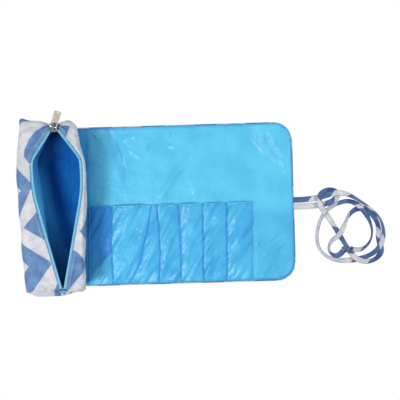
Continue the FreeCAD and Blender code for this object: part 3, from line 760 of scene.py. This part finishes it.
# ---------------------------------------------------------------- the zip's line
HEAD = joint_place("head_lip_left_turn")
TAIL = joint_place("tail_lip_left_turn")
RUN = float(np.hypot(*(HEAD - TAIL)[:2]))
AXIS = (HEAD - TAIL)[:2] / RUN
ACROSS = np.array([AXIS[1], -AXIS[0]])
HEAD_ANGLE = math.radians(JOINTS["head_lip_left_turn"]["range_deg"][1])
TAIL_ANGLE = math.radians(JOINTS["tail_lip_left_turn"]["range_deg"][1])
MOUTH_HALF = 30.2
HEAD_KNUCKLE = RUN - MOUTH_HALF / math.tan(HEAD_ANGLE)
TAIL_KNUCKLE = MOUTH_HALF / math.tan(TAIL_ANGLE)
KNUCKLE_EASE = 1.8
TAPE_LEVEL = TAIL[2]
CLOTH_EDGE = 4.4
SIDES = {"left": -1, "right": 1}


def lip_half(run):
    """Half the mouth's width that far from the tail end of the zip, its knuckles eased."""
    widths = (RUN - run) * math.tan(HEAD_ANGLE), run * math.tan(TAIL_ANGLE), MOUTH_HALF
    return -KNUCKLE_EASE * np.log(sum(np.exp(-width / KNUCKLE_EASE) for width in widths))


def lip_place(side, run, out, z):
    """A place beside the mouth's edge, `out` from it along the cloth."""
    run = np.asarray(run, float)
    slope = (lip_half(run + 0.05) - lip_half(run - 0.05)) / 0.1
    size = np.sqrt(1 + slope ** 2)
    aside = side * (lip_half(run) + out / size)
    along = run - out * slope / size
    return at(TAIL[0] + AXIS[0] * along + ACROSS[0] * aside, TAIL[1] + AXIS[1] * along + ACROSS[1] * aside, z)


def blend_to_lip(obj):
    """Bakes the place of the cloth beside the zip into its mesh."""
    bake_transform(obj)


# ---------------------------------------------------------------- pouch
# Each station: place along the pouch, how far out the left and the right rim stand, and the height.
STATIONS = np.array([
    (-114, 37.0, 33.0, 55.5), (-106, 40.5, 36.0, 59.2), (-83, 43.0, 37.5, 59.8), (-47, 46.0, 38.6, 59.8),
    (-10, 47.5, 39.8, 59.8), (20, 48.3, 41.6, 59.8), (43, 48.5, 43.0, 59.8), (64, 48.5, 41.0, 59.8),
    (75, 48.3, 37.5, 59.8), (92, 47.0, 33.5, 59.8), (106, 43.5, 31.5, 59.4), (118, 38.5, 29.5, 56.0)])
LEAN = 9.5
BASE_EDGE = 13.0
BASE_HALF = 15.5
GROUND, POUCH_TOP = 0.02, 60.4
POUCH_TAIL, POUCH_HEAD = -114.0, 118.0
WALL_TAIL, WALL_HEAD = -105.6, 107.6
# Outlines of the blue printed on the walls: how far out over the cloth, and the place along the pouch.
LEFT_BLUE = [(-38, 128), (-70, 80), (-47, 56), (-28, 35), (-27, 31), (-36, 13), (-45, -7), (-58, -22),
             (-43.6, -43), (-6.5, -67), (-5.3, -71), (-32.5, -108), (-42, -122), (-70, -112), (-34, -73),
             (-70, -40), (-90, -22), (-60, 8), (-41, 26), (-62, 44), (-95, 75), (-100, 128)]
INNER_BLUE = [(8, 126), (-9, 110), (-20, 103), (-29, 92), (-35.5, 79), (-36.5, 70), (-28.8, 60), (5, 25),
              (-20, 0), (-39.8, -22.6), (-13.5, -38.4), (15, -62), (8, -80), (-8, -122), (2, -122), (40, 0),
              (30, 126)]
CORNER_BLUE = [(-26, 120), (-44, 108), (-50, 101), (-80, 99), (-80, 140), (-26, 140)]
FAR_BLUE = [(-110, 128), (-160, 75), (-120, 26), (-160, -22), (-115, -73), (-150, -122), (-200, -122),
            (-200, 128)]
RIGHT_BLUES = [
    [(7.5, 110.7), (24.3, 107.6), (18.6, 93.5), (8.6, 105.5)],
    [(33, -29), (44, -17), (60, -4), (84, 20), (110, -4), (110, -60), (84, -28), (60, -54), (44, -41)],
    [(14, -48), (28.3, -55.6), (39.6, -66.7), (46, -72), (39.3, -78.2), (15.7, -105.3), (8, -114), (2, -100)],
    [(62, -110), (84, -92), (110, -114), (110, -140), (60, -140)],
    [(52, 70), (84, 106), (110, 74), (110, 40), (84, 60), (62, 40)],
]
WALL_COUNT = 84
WALL_STEP = 1.7
SPLIT_INSET = 3.4
PAINTED_LIGHT_REACH = 18.0


def wall_blue(side, cloth):
    """How far inside the blue of a wall's print a place of its cloth lies."""
    outlines = [LEFT_BLUE, INNER_BLUE, CORNER_BLUE, FAR_BLUE] if side < 0 else RIGHT_BLUES
    return np.max([inside_outline(cloth[..., 0], cloth[..., 1], outline) for outline in outlines], axis=0)


def girth(side, y):
    """How far out one wall's rim stands, and the height of the pouch, at a place along it."""
    spread = np.linspace(-8, 8, 9)
    nearby, weights = y + spread, hump(spread, 5)
    return [np.average(np.interp(nearby, STATIONS[:, 0], STATIONS[:, column]), weights=weights)
            for column in (1 if side < 0 else 2, 3)]


def clamped_curve(control, steps):
    """Points along a smooth curve held by its control points."""
    points = np.array(control, float)
    share = np.linspace(0, 1, steps, endpoint=False)[:, None]
    out = []
    for k in range(1, len(points) - 1):
        before = points[0] if k == 1 else (points[k - 1] + points[k]) / 2
        after = points[-1] if k == len(points) - 2 else (points[k] + points[k + 1]) / 2
        out.append((1 - share) ** 2 * before + 2 * share * (1 - share) * points[k] + share ** 2 * after)
    return np.concatenate(out + [points[-1:]])


def section(side, y, control, count):
    """A wall's line in even steps: its points and how much cloth lies before each."""
    fine = clamped_curve(control, 10)
    run = run_along(fine)
    even = np.linspace(0, run[-1], count)
    across, up = resampled(fine, run, even).T
    return at(side * across, y, up), even


def wall_section(side, y, near, count):
    """The wall from its edge at the mouth, out over the rim and down to the base: points and run of cloth."""
    rim, height = girth(side, y)
    rim = max(rim, near + 2.2)
    half = rim - LEAN
    shoulder = rim - min(2.0, 0.4 * (rim - near))
    return section(side, y, [
        (near, height), (near * 0.5 + rim * 0.5, height + 0.3), (shoulder, height + 0.2),
        (rim + 0.5, height - 11), (half + 0.62 * LEAN, 33), (half + 0.5, 15), (half - 1.5, GROUND),
        (max(half - 16, BASE_EDGE + 1.5), GROUND), (BASE_EDGE, GROUND)], count)


def lining_section(side, y, near, count):
    """The lining inside a wall, hanging from the mouth's edge down to the base; the left one is slack."""
    rim, height = girth(side, y)
    half = max(rim, near + 2.2) - LEAN
    spread = half - near
    slack = 6.5 * hump(y - 25.0, 48.0) if side < 0 else 0.0
    return section(side, y, [
        (near, height - 1.2), (near + 1.0, height - 3.0), (near - 2.5 - 0.4 * slack, 46),
        (min(near - 1.0 + 0.2 * max(spread, 0), half + 2.2) - slack, 29),
        (min(near + 0.6 * spread, half - 2.2) - slack, 14),
        (half - 3.4 - 0.6 * slack, 5.2), (max(half - 12, BASE_EDGE + 1.5), 3.6), (BASE_EDGE, 1.9)], count)[0]


def wall_waves(side, y, run, total):
    """Slack of the cloth: slow waves, puckers beside the zip, gathers at the ends and fans round its ends."""
    hold = rise(run, 0, 9) * rise(run, total, -26)
    waves = 0.7 * np.sin(y / 19.0 + side + run / 31.0) + 0.5 * np.sin(y / 8.6 - run / 13.0 + 2 * side)
    waves += 0.35 * np.sin(run / 5.2 + y / 29.0)
    gathers = rise(y, -84, -22) * 1.3 * np.sin(run / 2.7 + 0.06 * y)
    gathers += rise(y, 92, 16) * 0.9 * np.sin(run / 3.6 - 0.1 * y)
    puckers = 0.35 * np.sin(y * 0.85 + side) * hump(run - 3.0, 2.6)
    fan = 0.0
    for end, inward, amount in ((TAIL[1] - 4.0, 1, 2.2), (HEAD[1] + 4.0, -1, 1.3)):
        away = np.hypot(run, (y - end) * 0.9)
        turn = np.arctan2(run, inward * (y - end) + 4.0)
        fan = fan + amount * hump(away, 26.0) * rise(run, 0, 7) * np.sin(14.0 * turn + side)
    return hold * (waves + gathers) + puckers + fan


def mouth_edge(side, y):
    """How far out the cloth's edge beside the zip lies at a place along the pouch."""
    run = np.clip((y - TAIL[1]) / AXIS[1], 0.0, RUN)
    edge = lip_place(side, run, CLOTH_EDGE, 0.0)
    ahead = lip_place(side, min(run + 1.0, RUN), CLOTH_EDGE, 0.0)
    slope = (ahead[0] - edge[0]) / max(ahead[1] - edge[1], 0.1)
    return side * (edge[0] + slope * (y - edge[1]))


def mouth_painted_light(side, near, out, y):
    """Painted light on the lining below the left lip, fading towards the middle, and a little at the tail."""
    below_lip = rise(near - out, PAINTED_LIGHT_REACH, -PAINTED_LIGHT_REACH) if side < 0 else 0 * out
    return 0.85 * below_lip * hump(y - 12.0, 62.0) + 0.1 * rise(y, -10, -60)


def wall_rows():
    """Where a wall's rows lie along the pouch, and the first and last of them for each length of zip."""
    split_tail = TAIL[1] + AXIS[1] * TAIL_KNUCKLE + SPLIT_INSET
    split_head = TAIL[1] + AXIS[1] * HEAD_KNUCKLE - SPLIT_INSET
    rows, stretches = [WALL_TAIL], {}
    for part, low, high in (("tail", WALL_TAIL, split_tail), ("middle", split_tail, split_head),
                            ("head", split_head, WALL_HEAD)):
        first = len(rows) - 1
        rows += np.linspace(low, high, int(round((high - low) / WALL_STEP)) + 1)[1:].tolist()
        stretches[part] = (first, len(rows))
    return rows, stretches


def wall_surfaces(side, rows):
    """The cloth's points, its places on the cloth, the lining's points and the painted light on it, row by
    row.
    """
    tops, cloths, inners, painted_lights = [], [], [], []
    for y in rows:
        near = mouth_edge(side, y)
        top, run = wall_section(side, y, near, WALL_COUNT)
        inner = lining_section(side, y, near, WALL_COUNT)
        tops.append(np.concatenate([top, wall_waves(side, y, run, run[-1])[:, None]], 1))
        cloths.append(at(side * (near + run), y))
        inners.append(inner)
        painted_lights.append(mouth_painted_light(side, near, np.abs(inner[:, 0]), y))
    top, cloth, inner, painted_light = (np.array(found)[::-side] for found in (tops, cloths, inners, painted_lights))
    top = top[..., :3] + surface_normals(top[..., :3]) * top[..., 3:]
    top[..., 2] = np.maximum(top[..., 2], 0.0)
    share = np.linspace(0, 9, WALL_COUNT)
    hold = rise(share, 0, 1) * rise(share, 9, -1)
    slack = 0.8 * hold * undulation(cloth[..., 0] * 2.0, cloth[..., 1] * 1.6)
    return top, cloth, inner + surface_normals(inner) * slack[..., None], painted_light


def layers(outer, lining):
    """The pouch's two layers, each with its slot and what its CAD nodes' names start with."""
    return (outer, "printed_cloth", "pouch_outer"), (lining, "lining_nylon", "pouch_lining")


def make_wall(name):
    """One long wall of the pouch: printed cloth outside and nylon inside, a piece for each length of zip."""
    side = SIDES[name]
    places, stretches = wall_rows()
    top, cloth, inner, painted_light = wall_surfaces(side, places)
    normals, inner_normals = surface_normals(top), surface_normals(inner)
    blue = wall_blue(side, cloth)
    for part, (first, last) in stretches.items():
        rows = slice(first, last) if side < 0 else slice(len(places) - last, len(places) - first)
        piece = Piece()
        piece.shell(top[rows], thickness=0.9, cloth=cloth[rows], blue=blue[rows], normals=normals[rows])
        hem = top[rows, 2] * 0.6 + top[rows, 3] * 0.4
        piece.stitches(hem, normals[rows, 2], pitch=3.0, length=2.1, radius=0.26)
        outer = piece.build(f"pouch_wall_{name}_{part}", [PRINT, PALE_THREAD])
        # The lining carries painted light below the left lip.
        lining = one_sheet(f"pouch_inside_{name}_{part}", INSIDE, inner[rows], thickness=0.5,
                           cloth=cloth[rows], blue=painted_light[rows], normals=inner_normals[rows])
        for obj, slot, node in layers(outer, lining):
            blend_to_lip(obj)
            if part == "middle":
                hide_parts(f"{node}_{name}")


def stay_on_pouch(outer, lining, part, **sheet):
    """Two sheets that stay with the pouch and stand for its two CAD nodes there."""
    for obj, slot, node in layers(outer, lining):
        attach(obj, "pouch")
        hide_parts(f"{node}_{part}")


# Each end: its direction, where it stops, where it joins the walls, the zip's end there, how far past that
# the cloth beside it is held level, and the furthest back it is pushed.
ENDS = {"head": (1, POUCH_HEAD, WALL_HEAD, HEAD[1], 6.6, -2.0),
        "tail": (-1, POUCH_TAIL, WALL_TAIL, TAIL[1], -1.2, -3.0)}
# The rings beside the joint: how far past it, and how far inside the walls.
JOINT_RINGS = [(-9.5, 2.3), (-6.0, 2.3), (-2.5, 2.3), (-0.7, 2.2), (0.1, 0.1), (1.4, 0.0)]
# The rings beyond: the share of the way that is left, and the share of full size.
END_RINGS = [(0.25, 1.0), (0.45, 0.985), (0.62, 0.96), (0.76, 0.925), (0.87, 0.87), (0.94, 0.79),
             (0.975, 0.68), (0.99, 0.54), (1.0, 0.4), (1.0, 0.26), (1.0, 0.12), (1.0, 0.01)]
RING_COUNT = 92
RING_MIDDLE = 27.0
BESIDE_ZIP, ZIP_LEVEL = 6.0, 54.9
FACE_SCALE = 0.3


def end_rings(end):
    """Each ring of an end: its place along the pouch, how far inside the walls, and its scale."""
    sign, limit, joint = ENDS[end][:3]
    last = JOINT_RINGS[-1][0]
    room = abs(limit - joint) - last
    rings = [(joint + sign * past, inset, 1.0) for past, inset in JOINT_RINGS]
    return rings + [(joint + sign * (last + room * share), 0.0, scale) for share, scale in END_RINGS]


def end_shift(end, loop):
    """How an end is pulled out of its round shape: to the left, and further along the pouch."""
    x = loop[:, 0]
    if end == "tail":
        return 0.0, 5.0 * rise(x, 4, 26) + 4.0 * rise(x, -24, -14)
    ear = hump(x + 40, 7) * hump(loop[:, 2] - 54, 9)
    return 4.2 * ear, 7.5 * ear - 6.5 * hump(x - 1, 12) - 4.0 * rise(x, 20, 10)


def end_ring(end, y, inset, scale):
    """One ring of an end, made of both walls' lines there, and its places on the cloth."""
    sign, limit, joint, zip_end, level_reach, push = ENDS[end]
    centre = TAIL[0] + AXIS[0] * (np.clip(y, TAIL[1], HEAD[1]) - TAIL[1]) / AXIS[1]
    halves = []
    for side in (-1, 1):
        half, run = wall_section(side, y, side * centre, RING_COUNT)
        waves = wall_waves(side, y, run, run[-1])
        halves.append(np.column_stack([half, centre + side * run, waves])[::-side])
    both = np.concatenate(halves)
    around = np.linspace(0, 2 * math.pi, len(both))
    waves = both[:, 4] + 0.9 * np.sin(around * 11 + y / 5) * (1 - scale) * scale * 4
    away = both[:, [0, 2]] - [centre, RING_MIDDLE]
    size = np.maximum(np.linalg.norm(away, axis=1), 1)
    away *= (scale * (1 - (inset - waves * (scale > FACE_SCALE)) / size))[:, None]
    loop = at(centre + away[:, 0], y, RING_MIDDLE + away[:, 1])
    if sign * (y - zip_end) < level_reach:
        beside = (np.abs(loop[:, 0] - centre) < BESIDE_ZIP) & (loop[:, 2] > 40)
        loop[beside, 2] = ZIP_LEVEL
        loop[beside, 1] = sign * max(sign * y, sign * zip_end + push)
    past = rise(sign * y, sign * joint, 9)
    left, along = end_shift(end, loop)
    loop[:, 0] -= past * left
    loop[:, 1] += past * along
    loop[:, 2] = np.clip(loop[:, 2], GROUND, POUCH_TOP)
    if y == limit and scale > FACE_SCALE:
        loop[:, 1] -= sign * 0.15 * (1 + np.sin(around * 9))
    return loop, at(both[:, 3], y)


def make_end(end):
    """An end of the pouch: it starts under the walls' last stretch, closes over the top and rounds in."""
    rings = [end_ring(end, *ring) for ring in end_rings(end)][::ENDS[end][0]]
    top, cloth = (np.array(found) for found in zip(*rings))
    normals = surface_normals(top)
    blue = np.where(cloth[..., 0] < TAIL[0], wall_blue(-1, cloth), wall_blue(1, cloth))
    outer = one_sheet(f"pouch_end_{end}", PRINT, top, thickness=0.8, cloth=cloth, blue=blue, normals=normals)
    lining = one_sheet(f"pouch_inside_end_{end}", INSIDE, top - normals * 0.9, thickness=0.5, cloth=cloth,
                       normals=normals)
    stay_on_pouch(outer, lining, end, flat=(0.12, 0.09), area=0.0078, held="gathered")


def make_base():
    """The floor of the pouch between its walls: printed cloth below and nylon above."""
    across, along = np.linspace(-BASE_HALF, BASE_HALF, 18), np.linspace(WALL_TAIL, WALL_HEAD, 110)
    x, y = np.meshgrid(across, along, indexing="ij")
    outer = one_sheet("pouch_base", PRINT, at(x, y, 1.0), False, thickness=0.95, cloth=at(x, y),
                      blue=zigzag(x + 20, y), normals=UP)
    z = 2.2 + 0.5 * undulation(x * 2.2, y * 1.3) * rise(np.abs(x), 13.5, -5)
    # Painted light on the base lining below the left lip.
    painted_light = np.stack([mouth_painted_light(-1, mouth_edge(-1, place), -across, place) for place in along], -1)
    lining = one_sheet("pouch_inside_base", INSIDE, at(x, y, z), thickness=0.5, cloth=at(x, y), blue=painted_light)
    stay_on_pouch(outer, lining, "base", flat=(2 * BASE_HALF * MM, (WALL_HEAD - WALL_TAIL) * MM), held="laid")


# ---------------------------------------------------------------- zip
TAPE_OUTS = np.array([0.7, 1.6, 2.6, 3.4, 4.4, 5.6])
COIL_PITCH = 1.25
TAPE_START, TAPE_END = 2.2, RUN - 4.6


def add_coil(piece, side, low, high):
    """Half of the zip's coil: a lump for each turn, from the mouth's edge over the tape."""
    for place in np.arange(low + COIL_PITCH / 2, high, COIL_PITCH):
        inner, outer = (lip_place(side, place, out, TAPE_LEVEL + 0.95) for out in (0.15, 2.7))
        ahead = (outer - inner) / 2
        aside = np.array([-ahead[1], ahead[0], 0]) / np.linalg.norm(ahead)
        lump = STITCH[:, :1] * ahead + STITCH[:, 1:2] * aside * 0.5 + STITCH[:, 2:] * UP * 0.6
        piece.add((inner + outer) / 2 + lump, STITCH_FACES, 1)


def make_tape(name, part, low, high):
    """One length of tape beside the mouth, with its coil and its stitches."""
    side = SIDES[name]
    run = np.linspace(low, high, max(8, int((high - low) / 1.6)))[:, None]
    z = TAPE_LEVEL + 0.72 - 0.12 * np.sin(run * 0.9) * hump(TAPE_OUTS - 3.6, 1.2)
    piece = Piece()
    piece.shell(lip_place(side, run, TAPE_OUTS, z)[::-side], thickness=0.6, cloth=at(TAPE_OUTS, run)[::-side])
    add_coil(piece, side, low, high)
    line = lip_place(side, np.arange(low, high, 0.8), 3.2, TAPE_LEVEL + 0.75)
    piece.stitches(line, np.broadcast_to(UP, line.shape), pitch=2.0, length=1.5, radius=0.22)
    tape = piece.build(f"zip_{part}_tape_{name}", [TAPE, COIL])
    body = f"{part}_lip_{name}"
    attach(tape, body)
    if part == "middle":
        anchor = lip_place(side, (low + high) / 2, 0.0, TAPE_LEVEL) * MM
        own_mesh(tape)
    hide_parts(f"zip_{body}")


def make_zip():
    """Tape and coil beside the mouth: head and tail lengths ride on the lips that swing, the middle ones on
    the lips that slide.
    """
    for name in SIDES:
        make_tape(name, "head", HEAD_KNUCKLE, TAPE_END)
        make_tape(name, "middle", TAIL_KNUCKLE, HEAD_KNUCKLE)
        make_tape(name, "tail", TAPE_START, TAIL_KNUCKLE)


def finish_cad_nodes():
    """The bridges and the metal parts are the CAD solids, with their edges eased."""
    for node, material, width in (("zip_slider", DARK_NICKEL, 0.35), ("zip_pull", NICKEL, 0.3),
                                  ("zip_head_bridge", TAPE, 0.15), ("zip_tail_bridge", TAPE, 0.15)):
        obj = frame["nodes"][node]
        obj.data.materials.clear()
        obj.data.materials.append(material)
        bevel = obj.modifiers.new("eased", "BEVEL")
        bevel.width = width * MM
        bevel.segments = 3
        bevel.limit_method = "ANGLE"
        bevel.harden_normals = True


PLATE_NEAR, PLATE_FAR, PLATE_HALF = 12.4, 20.4, 3.6


def make_pull_plate():
    """The thin dished plate that closes the pull tab's window."""
    hinge = np.array(JOINTS["pull_hinge"]["axis"])
    across = hinge * np.sign(hinge[0])
    along = np.array([-across[1], across[0], 0.0])
    run = np.linspace(PLATE_FAR, PLATE_NEAR, 9)[:, None]
    out = np.linspace(-PLATE_HALF, PLATE_HALF, 7)[None]
    dished = 0.35 - 0.2 * np.exp(-((run - (PLATE_NEAR + PLATE_FAR) / 2) / 2.6) ** 4 - (out / 2.4) ** 4)
    run, out, dished = run[..., None], out[..., None], dished[..., None]
    top = joint_place("pull_hinge") + run * along + out * across + dished * UP
    plate = one_sheet("zip_pull_plate", NICKEL, top, False, thickness=0.5, normals=UP)
    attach(plate, "zip_pull")


# ---------------------------------------------------------------- ties
# Each place: x, y, height, and how far the ribbon is tilted up on its edge, in degrees.
HIGH_ROUTE = [
    (318.6, 3.2, 1.4, 0), (328.5, 3.1, 1.5, 5), (343, 3.9, 1.5, 10), (356.6, 5.8, 1.5, 12),
    (369.3, 10, 4.3, 10), (383.8, 11.8, 4.7, 12), (396.4, 8.6, 4.4, 40), (410.5, -0.2, 4.1, 58),
    (424.7, -10.6, 4.1, 60), (437, -22.7, 4.1, 60), (442.8, -37.8, 4.3, 50), (442, -54, 4.6, 16),
    (434.7, -68.3, 4.7, 14), (420.9, -77.9, 2.6, 30), (402.7, -82.2, 1.5, 12), (383.7, -83.2, 1.9, 20),
    (365.8, -78.9, 3.9, 60), (353.4, -67.7, 4.1, 68), (349.3, -51.3, 4.1, 68), (352.1, -33.4, 4.1, 66),
    (359.4, -17.9, 4.1, 64), (371, -7.1, 3.8, 56), (384.5, -1.5, 3.4, 45), (397, 0, 4.2, 40),
    (409, -6, 4.7, 14), (418, -17, 4.7, 14), (424.5, -29.5, 4.2, 50), (427.5, -43.5, 4.1, 60),
    (424.5, -56.5, 4.1, 58), (416, -66, 3.6, 50), (405.5, -69.5, 2.2, 25), (395.5, -67, 1.3, 6),
]
LOW_ROUTE = [
    (318.3, -6.1, 1.4, 0), (330.9, -6.1, 1.5, 5), (344.5, -5.6, 1.5, 10), (358.4, -4.6, 1.5, 12),
    (371.5, -1.6, 1.6, 14), (381, 5, 1.5, 12), (379.5, 13.5, 1.9, 20), (368, 17, 3.3, 45),
    (357, 12, 4.2, 25), (354, 1, 4.8, 12), (358.3, -10, 4.8, 12), (366.4, -21, 4.6, 14),
    (374.3, -33.5, 2.6, 30), (382.1, -46.8, 1.5, 12), (389.8, -60.6, 2.8, 40), (396.6, -73.5, 4.6, 14),
    (405.3, -81.5, 4.7, 12), (417.5, -85.5, 4.3, 40), (430.5, -82.5, 4.1, 58), (439.5, -73, 2.4, 30),
    (438.5, -63, 1.5, 12), (435.5, -50.5, 2.6, 35), (436.3, -36.8, 4.1, 58), (431, -23.5, 3.6, 45),
    (421.7, -12.9, 1.7, 16), (409.1, -10.3, 1.5, 12), (398.2, -16.3, 2.6, 35), (391.2, -27.4, 4.1, 58),
    (386.5, -39, 4.5, 16), (379.6, -48.4, 4.6, 12), (369.5, -55, 4.2, 45), (365.2, -65.6, 4.1, 58),
    (371.5, -75.5, 4, 50), (382, -75.5, 2.6, 30), (388.5, -67, 1.3, 6),
]
RIBBON_WIDTH = 8.0
RIBBON_THICKNESS = 1.0
# Half of the ribbon's outline: the share of its half width, and of its half thickness.
RIBBON_OUTLINE = [(-1, 0), (-0.93, 0.8), (-0.7, 1), (-0.35, 0.9), (0, 0.82), (0.35, 0.9), (0.7, 1),
                  (0.93, 0.8), (1, 0)]
HIGH_BLUES = [(-20, 24), (40, 56), (80, 110), (120, 158), (174, 216), (344, 372), (380, 446)]
LOW_BLUES = [(44, 60), (74, 104), (148, 192), (220, 262), (276, 334), (396, 428)]
TILT_SCALE = 10
KNOT_SIZE = 1.35
KNOT_WIDENED = 1.75
KNOT_TURNS, KNOT_AROUND = 72, 10


def spline_points(places):
    """Points along a NURBS spline with these control points."""
    curve = bpy.data.curves.new("route", "CURVE")
    curve.dimensions = "3D"
    curve.resolution_u = 7
    spline = curve.splines.new("NURBS")
    spline.points.add(len(places) - 1)
    for point, place in zip(spline.points, places):
        point.co = (*place, 1.0)
    spline.order_u = 3
    spline.use_endpoint_u = True
    holder = bpy.data.objects.new("route", curve)
    scene.collection.objects.link(holder)
    bpy.context.view_layer.update()
    mesh = bpy.data.meshes.new_from_object(holder)
    points = np.array([vertex.co for vertex in mesh.vertices])
    bpy.data.objects.remove(holder)
    bpy.data.meshes.remove(mesh)
    return points


def unit(vectors):
    """The same directions, one long."""
    return vectors / np.linalg.norm(vectors, axis=1, keepdims=True)


def make_ribbon(name, route, blue_runs, replaced):
    """A folded and sewn strip of printed cloth, loose and partly up on its edge, with a knot at its end."""
    line = spline_points([place[:3] for place in route])
    tilts = [(math.radians(place[3]) * TILT_SCALE, 0, index) for index, place in enumerate(route)]
    tilt = spline_points(tilts)[:, :1] / TILT_SCALE
    run = run_along(line)
    ahead = unit(np.gradient(line, run, axis=0))
    level = unit(np.cross(ahead, UP))
    aside = level * np.cos(tilt) + np.cross(level, ahead) * np.sin(tilt)
    face = np.cross(ahead, aside)
    outline = np.array(RIBBON_OUTLINE + [(wide, -thick) for wide, thick in RIBBON_OUTLINE[-2:0:-1]])
    wide, thick = outline.T * [[RIBBON_WIDTH / 2], [RIBBON_THICKNESS / 2]]
    swell = face * (1 + 0.12 * np.sin(run / 3.1))[:, None]
    verts = line[:, None] + aside[:, None] * wide[:, None] + swell[:, None] * thick[:, None]
    index = np.arange(len(line) * len(wide)).reshape(len(line), -1)
    beside = np.roll(index, -1, 1)
    faces = np.stack([index[:-1], beside[:-1], beside[1:], index[1:]], -1).reshape(-1, 4).tolist()
    faces += [index[0][::-1].tolist(), index[-1].tolist()]
    slant = run[:, None] + 0.9 * wide
    blue = np.max([np.minimum(slant - start, end - slant) for start, end in blue_runs], axis=0)
    piece = Piece()
    piece.add(verts, faces, 0, at(wide, run[:, None], thick), blue)
    seam = line + aside * (RIBBON_WIDTH / 2 - 1.1) + face * RIBBON_THICKNESS * 0.45
    piece.stitches(seam[4:-4], face[4:-4], pitch=2.6, length=1.9, radius=0.2)
    ribbon = piece.build(name, [RIBBON, PALE_THREAD], own_normals=False)
    knot = make_knot(f"{name}_knot", line[-1])
    for obj in (ribbon, knot):
        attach(obj, "flap_strip_9")
    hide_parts(*replaced)


def make_knot(name, place):
    """A small overhand knot pulled tight round the ribbon's end."""
    turn = np.linspace(0, 2 * math.pi, KNOT_TURNS, endpoint=False)
    x, y = np.sin(turn) + 2 * np.sin(2 * turn), np.cos(turn) - 2 * np.cos(2 * turn)
    line = at(x, y, -1.15 * np.sin(3 * turn)) * KNOT_SIZE
    ahead = unit(np.roll(line, -1, 0) - np.roll(line, 1, 0))
    out = unit(line)
    out = unit(out - ahead * np.sum(out * ahead, axis=1, keepdims=True))
    side = np.cross(ahead, out)
    angle = np.linspace(0, 2 * math.pi, KNOT_AROUND, endpoint=False)[:, None]
    ring = line[:, None] + out[:, None] * np.cos(angle) + side[:, None] * KNOT_WIDENED * np.sin(angle)
    ring += [place[0], place[1], 0.0]
    ring[..., 2] += 0.1 - ring[..., 2].min()
    index = np.arange(KNOT_TURNS * KNOT_AROUND).reshape(KNOT_TURNS, KNOT_AROUND)
    beside, after = np.roll(index, -1, 1), np.roll(index, -1, 0)
    faces = np.stack([index, after, np.roll(beside, -1, 0), beside], -1).reshape(-1, 4).tolist()
    piece = Piece()
    cloth = at(4 * angle[:, 0], 8 * turn[:, None])
    piece.add(ring, faces, 0, cloth, np.repeat(6 * np.sin(2 * turn), KNOT_AROUND))
    return piece.build(name, [RIBBON], own_normals=False)


# ---------------------------------------------------------------- light and floor
FLOOR_HALF = 6
# Each lamp: name, place, size and power.
LAMPS = [("key", (-0.45, -0.45, 1.15), 0.4, 11.5), ("side", (1.0, 0.4, 0.75), 0.5, 5.0),
         ("back", (0.1, 1.1, 0.7), 0.6, 1.5)]
LAMP_TARGET = Vector((0.15, 0, 0.02))


def make_floor():
    """A pale floor that takes the part's shadow and bounces light, but is plain white to the camera."""
    mesh = bpy.data.meshes.new("floor")
    corners = [(x * FLOOR_HALF, y * FLOOR_HALF, 0) for x, y in ((-1, -1), (1, -1), (1, 1), (-1, 1))]
    mesh.from_pydata(corners, [], [(0, 1, 2, 3)])
    floor = bpy.data.objects.new("floor", mesh)
    scene.collection.objects.link(floor)
    look = Look("pale_floor", Base_Color=(0.85, 0.85, 0.85, 1), Roughness=0.7)
    path = look.node("ShaderNodeLightPath")
    white = look.node("ShaderNodeEmission", {"Color": (1, 1, 1, 1), "Strength": 1.0})
    seen = look.math("MAXIMUM", path.outputs["Is Camera Ray"], path.outputs["Is Transmission Ray"])
    pick = look.node("ShaderNodeMixShader", {0: seen, 1: look.shader.outputs[0], 2: white.outputs[0]})
    look.tree.links.new(pick.outputs[0], look.tree.nodes["Material Output"].inputs["Surface"])
    mesh.materials.append(look.material)
    floor.location = (0.2, 0, -0.0005)


def make_sky():
    """A soft sky that lights the part, and plain white to the camera."""
    scene.world = bpy.data.worlds.new("studio")
    scene.world.use_nodes = True
    sky = Nodes(scene.world.node_tree)
    sky.tree.nodes.clear()
    path = sky.node("ShaderNodeLightPath")
    soft = sky.node("ShaderNodeBackground", {"Color": (0.93, 0.96, 1.0, 1), "Strength": 0.33})
    white = sky.node("ShaderNodeBackground", {"Color": (1, 1, 1, 1)})
    camera_ray = path.outputs["Is Camera Ray"]
    pick = sky.node("ShaderNodeMixShader", {0: camera_ray, 1: soft.outputs[0], 2: white.outputs[0]})
    sky.node("ShaderNodeOutputWorld", {"Surface": pick.outputs[0]})


def make_lamps():
    """Three round lamps that look at the part."""
    for name, place, size, power in LAMPS:
        light = bpy.data.lights.new(name, "AREA")
        light.shape = "DISK"
        light.size = size
        light.energy = power
        lamp = bpy.data.objects.new(name, light)
        lamp.location = place
        lamp.rotation_euler = (LAMP_TARGET - Vector(place)).to_track_quat("-Z", "Y").to_euler()
        scene.collection.objects.link(lamp)


make_ribbon("tie_high", HIGH_ROUTE, HIGH_BLUES, ["tie_run_high"])
make_ribbon("tie_low", LOW_ROUTE, LOW_BLUES, ["tie_run_low", "tie_coil"])
make_flap()
make_pockets()
for wall in SIDES:
    make_wall(wall)
for pouch_end in ENDS:
    make_end(pouch_end)
make_base()
make_zip()
finish_cad_nodes()
make_pull_plate()
make_floor()
make_sky()
make_lamps()
scene.view_settings.view_transform = "Standard"
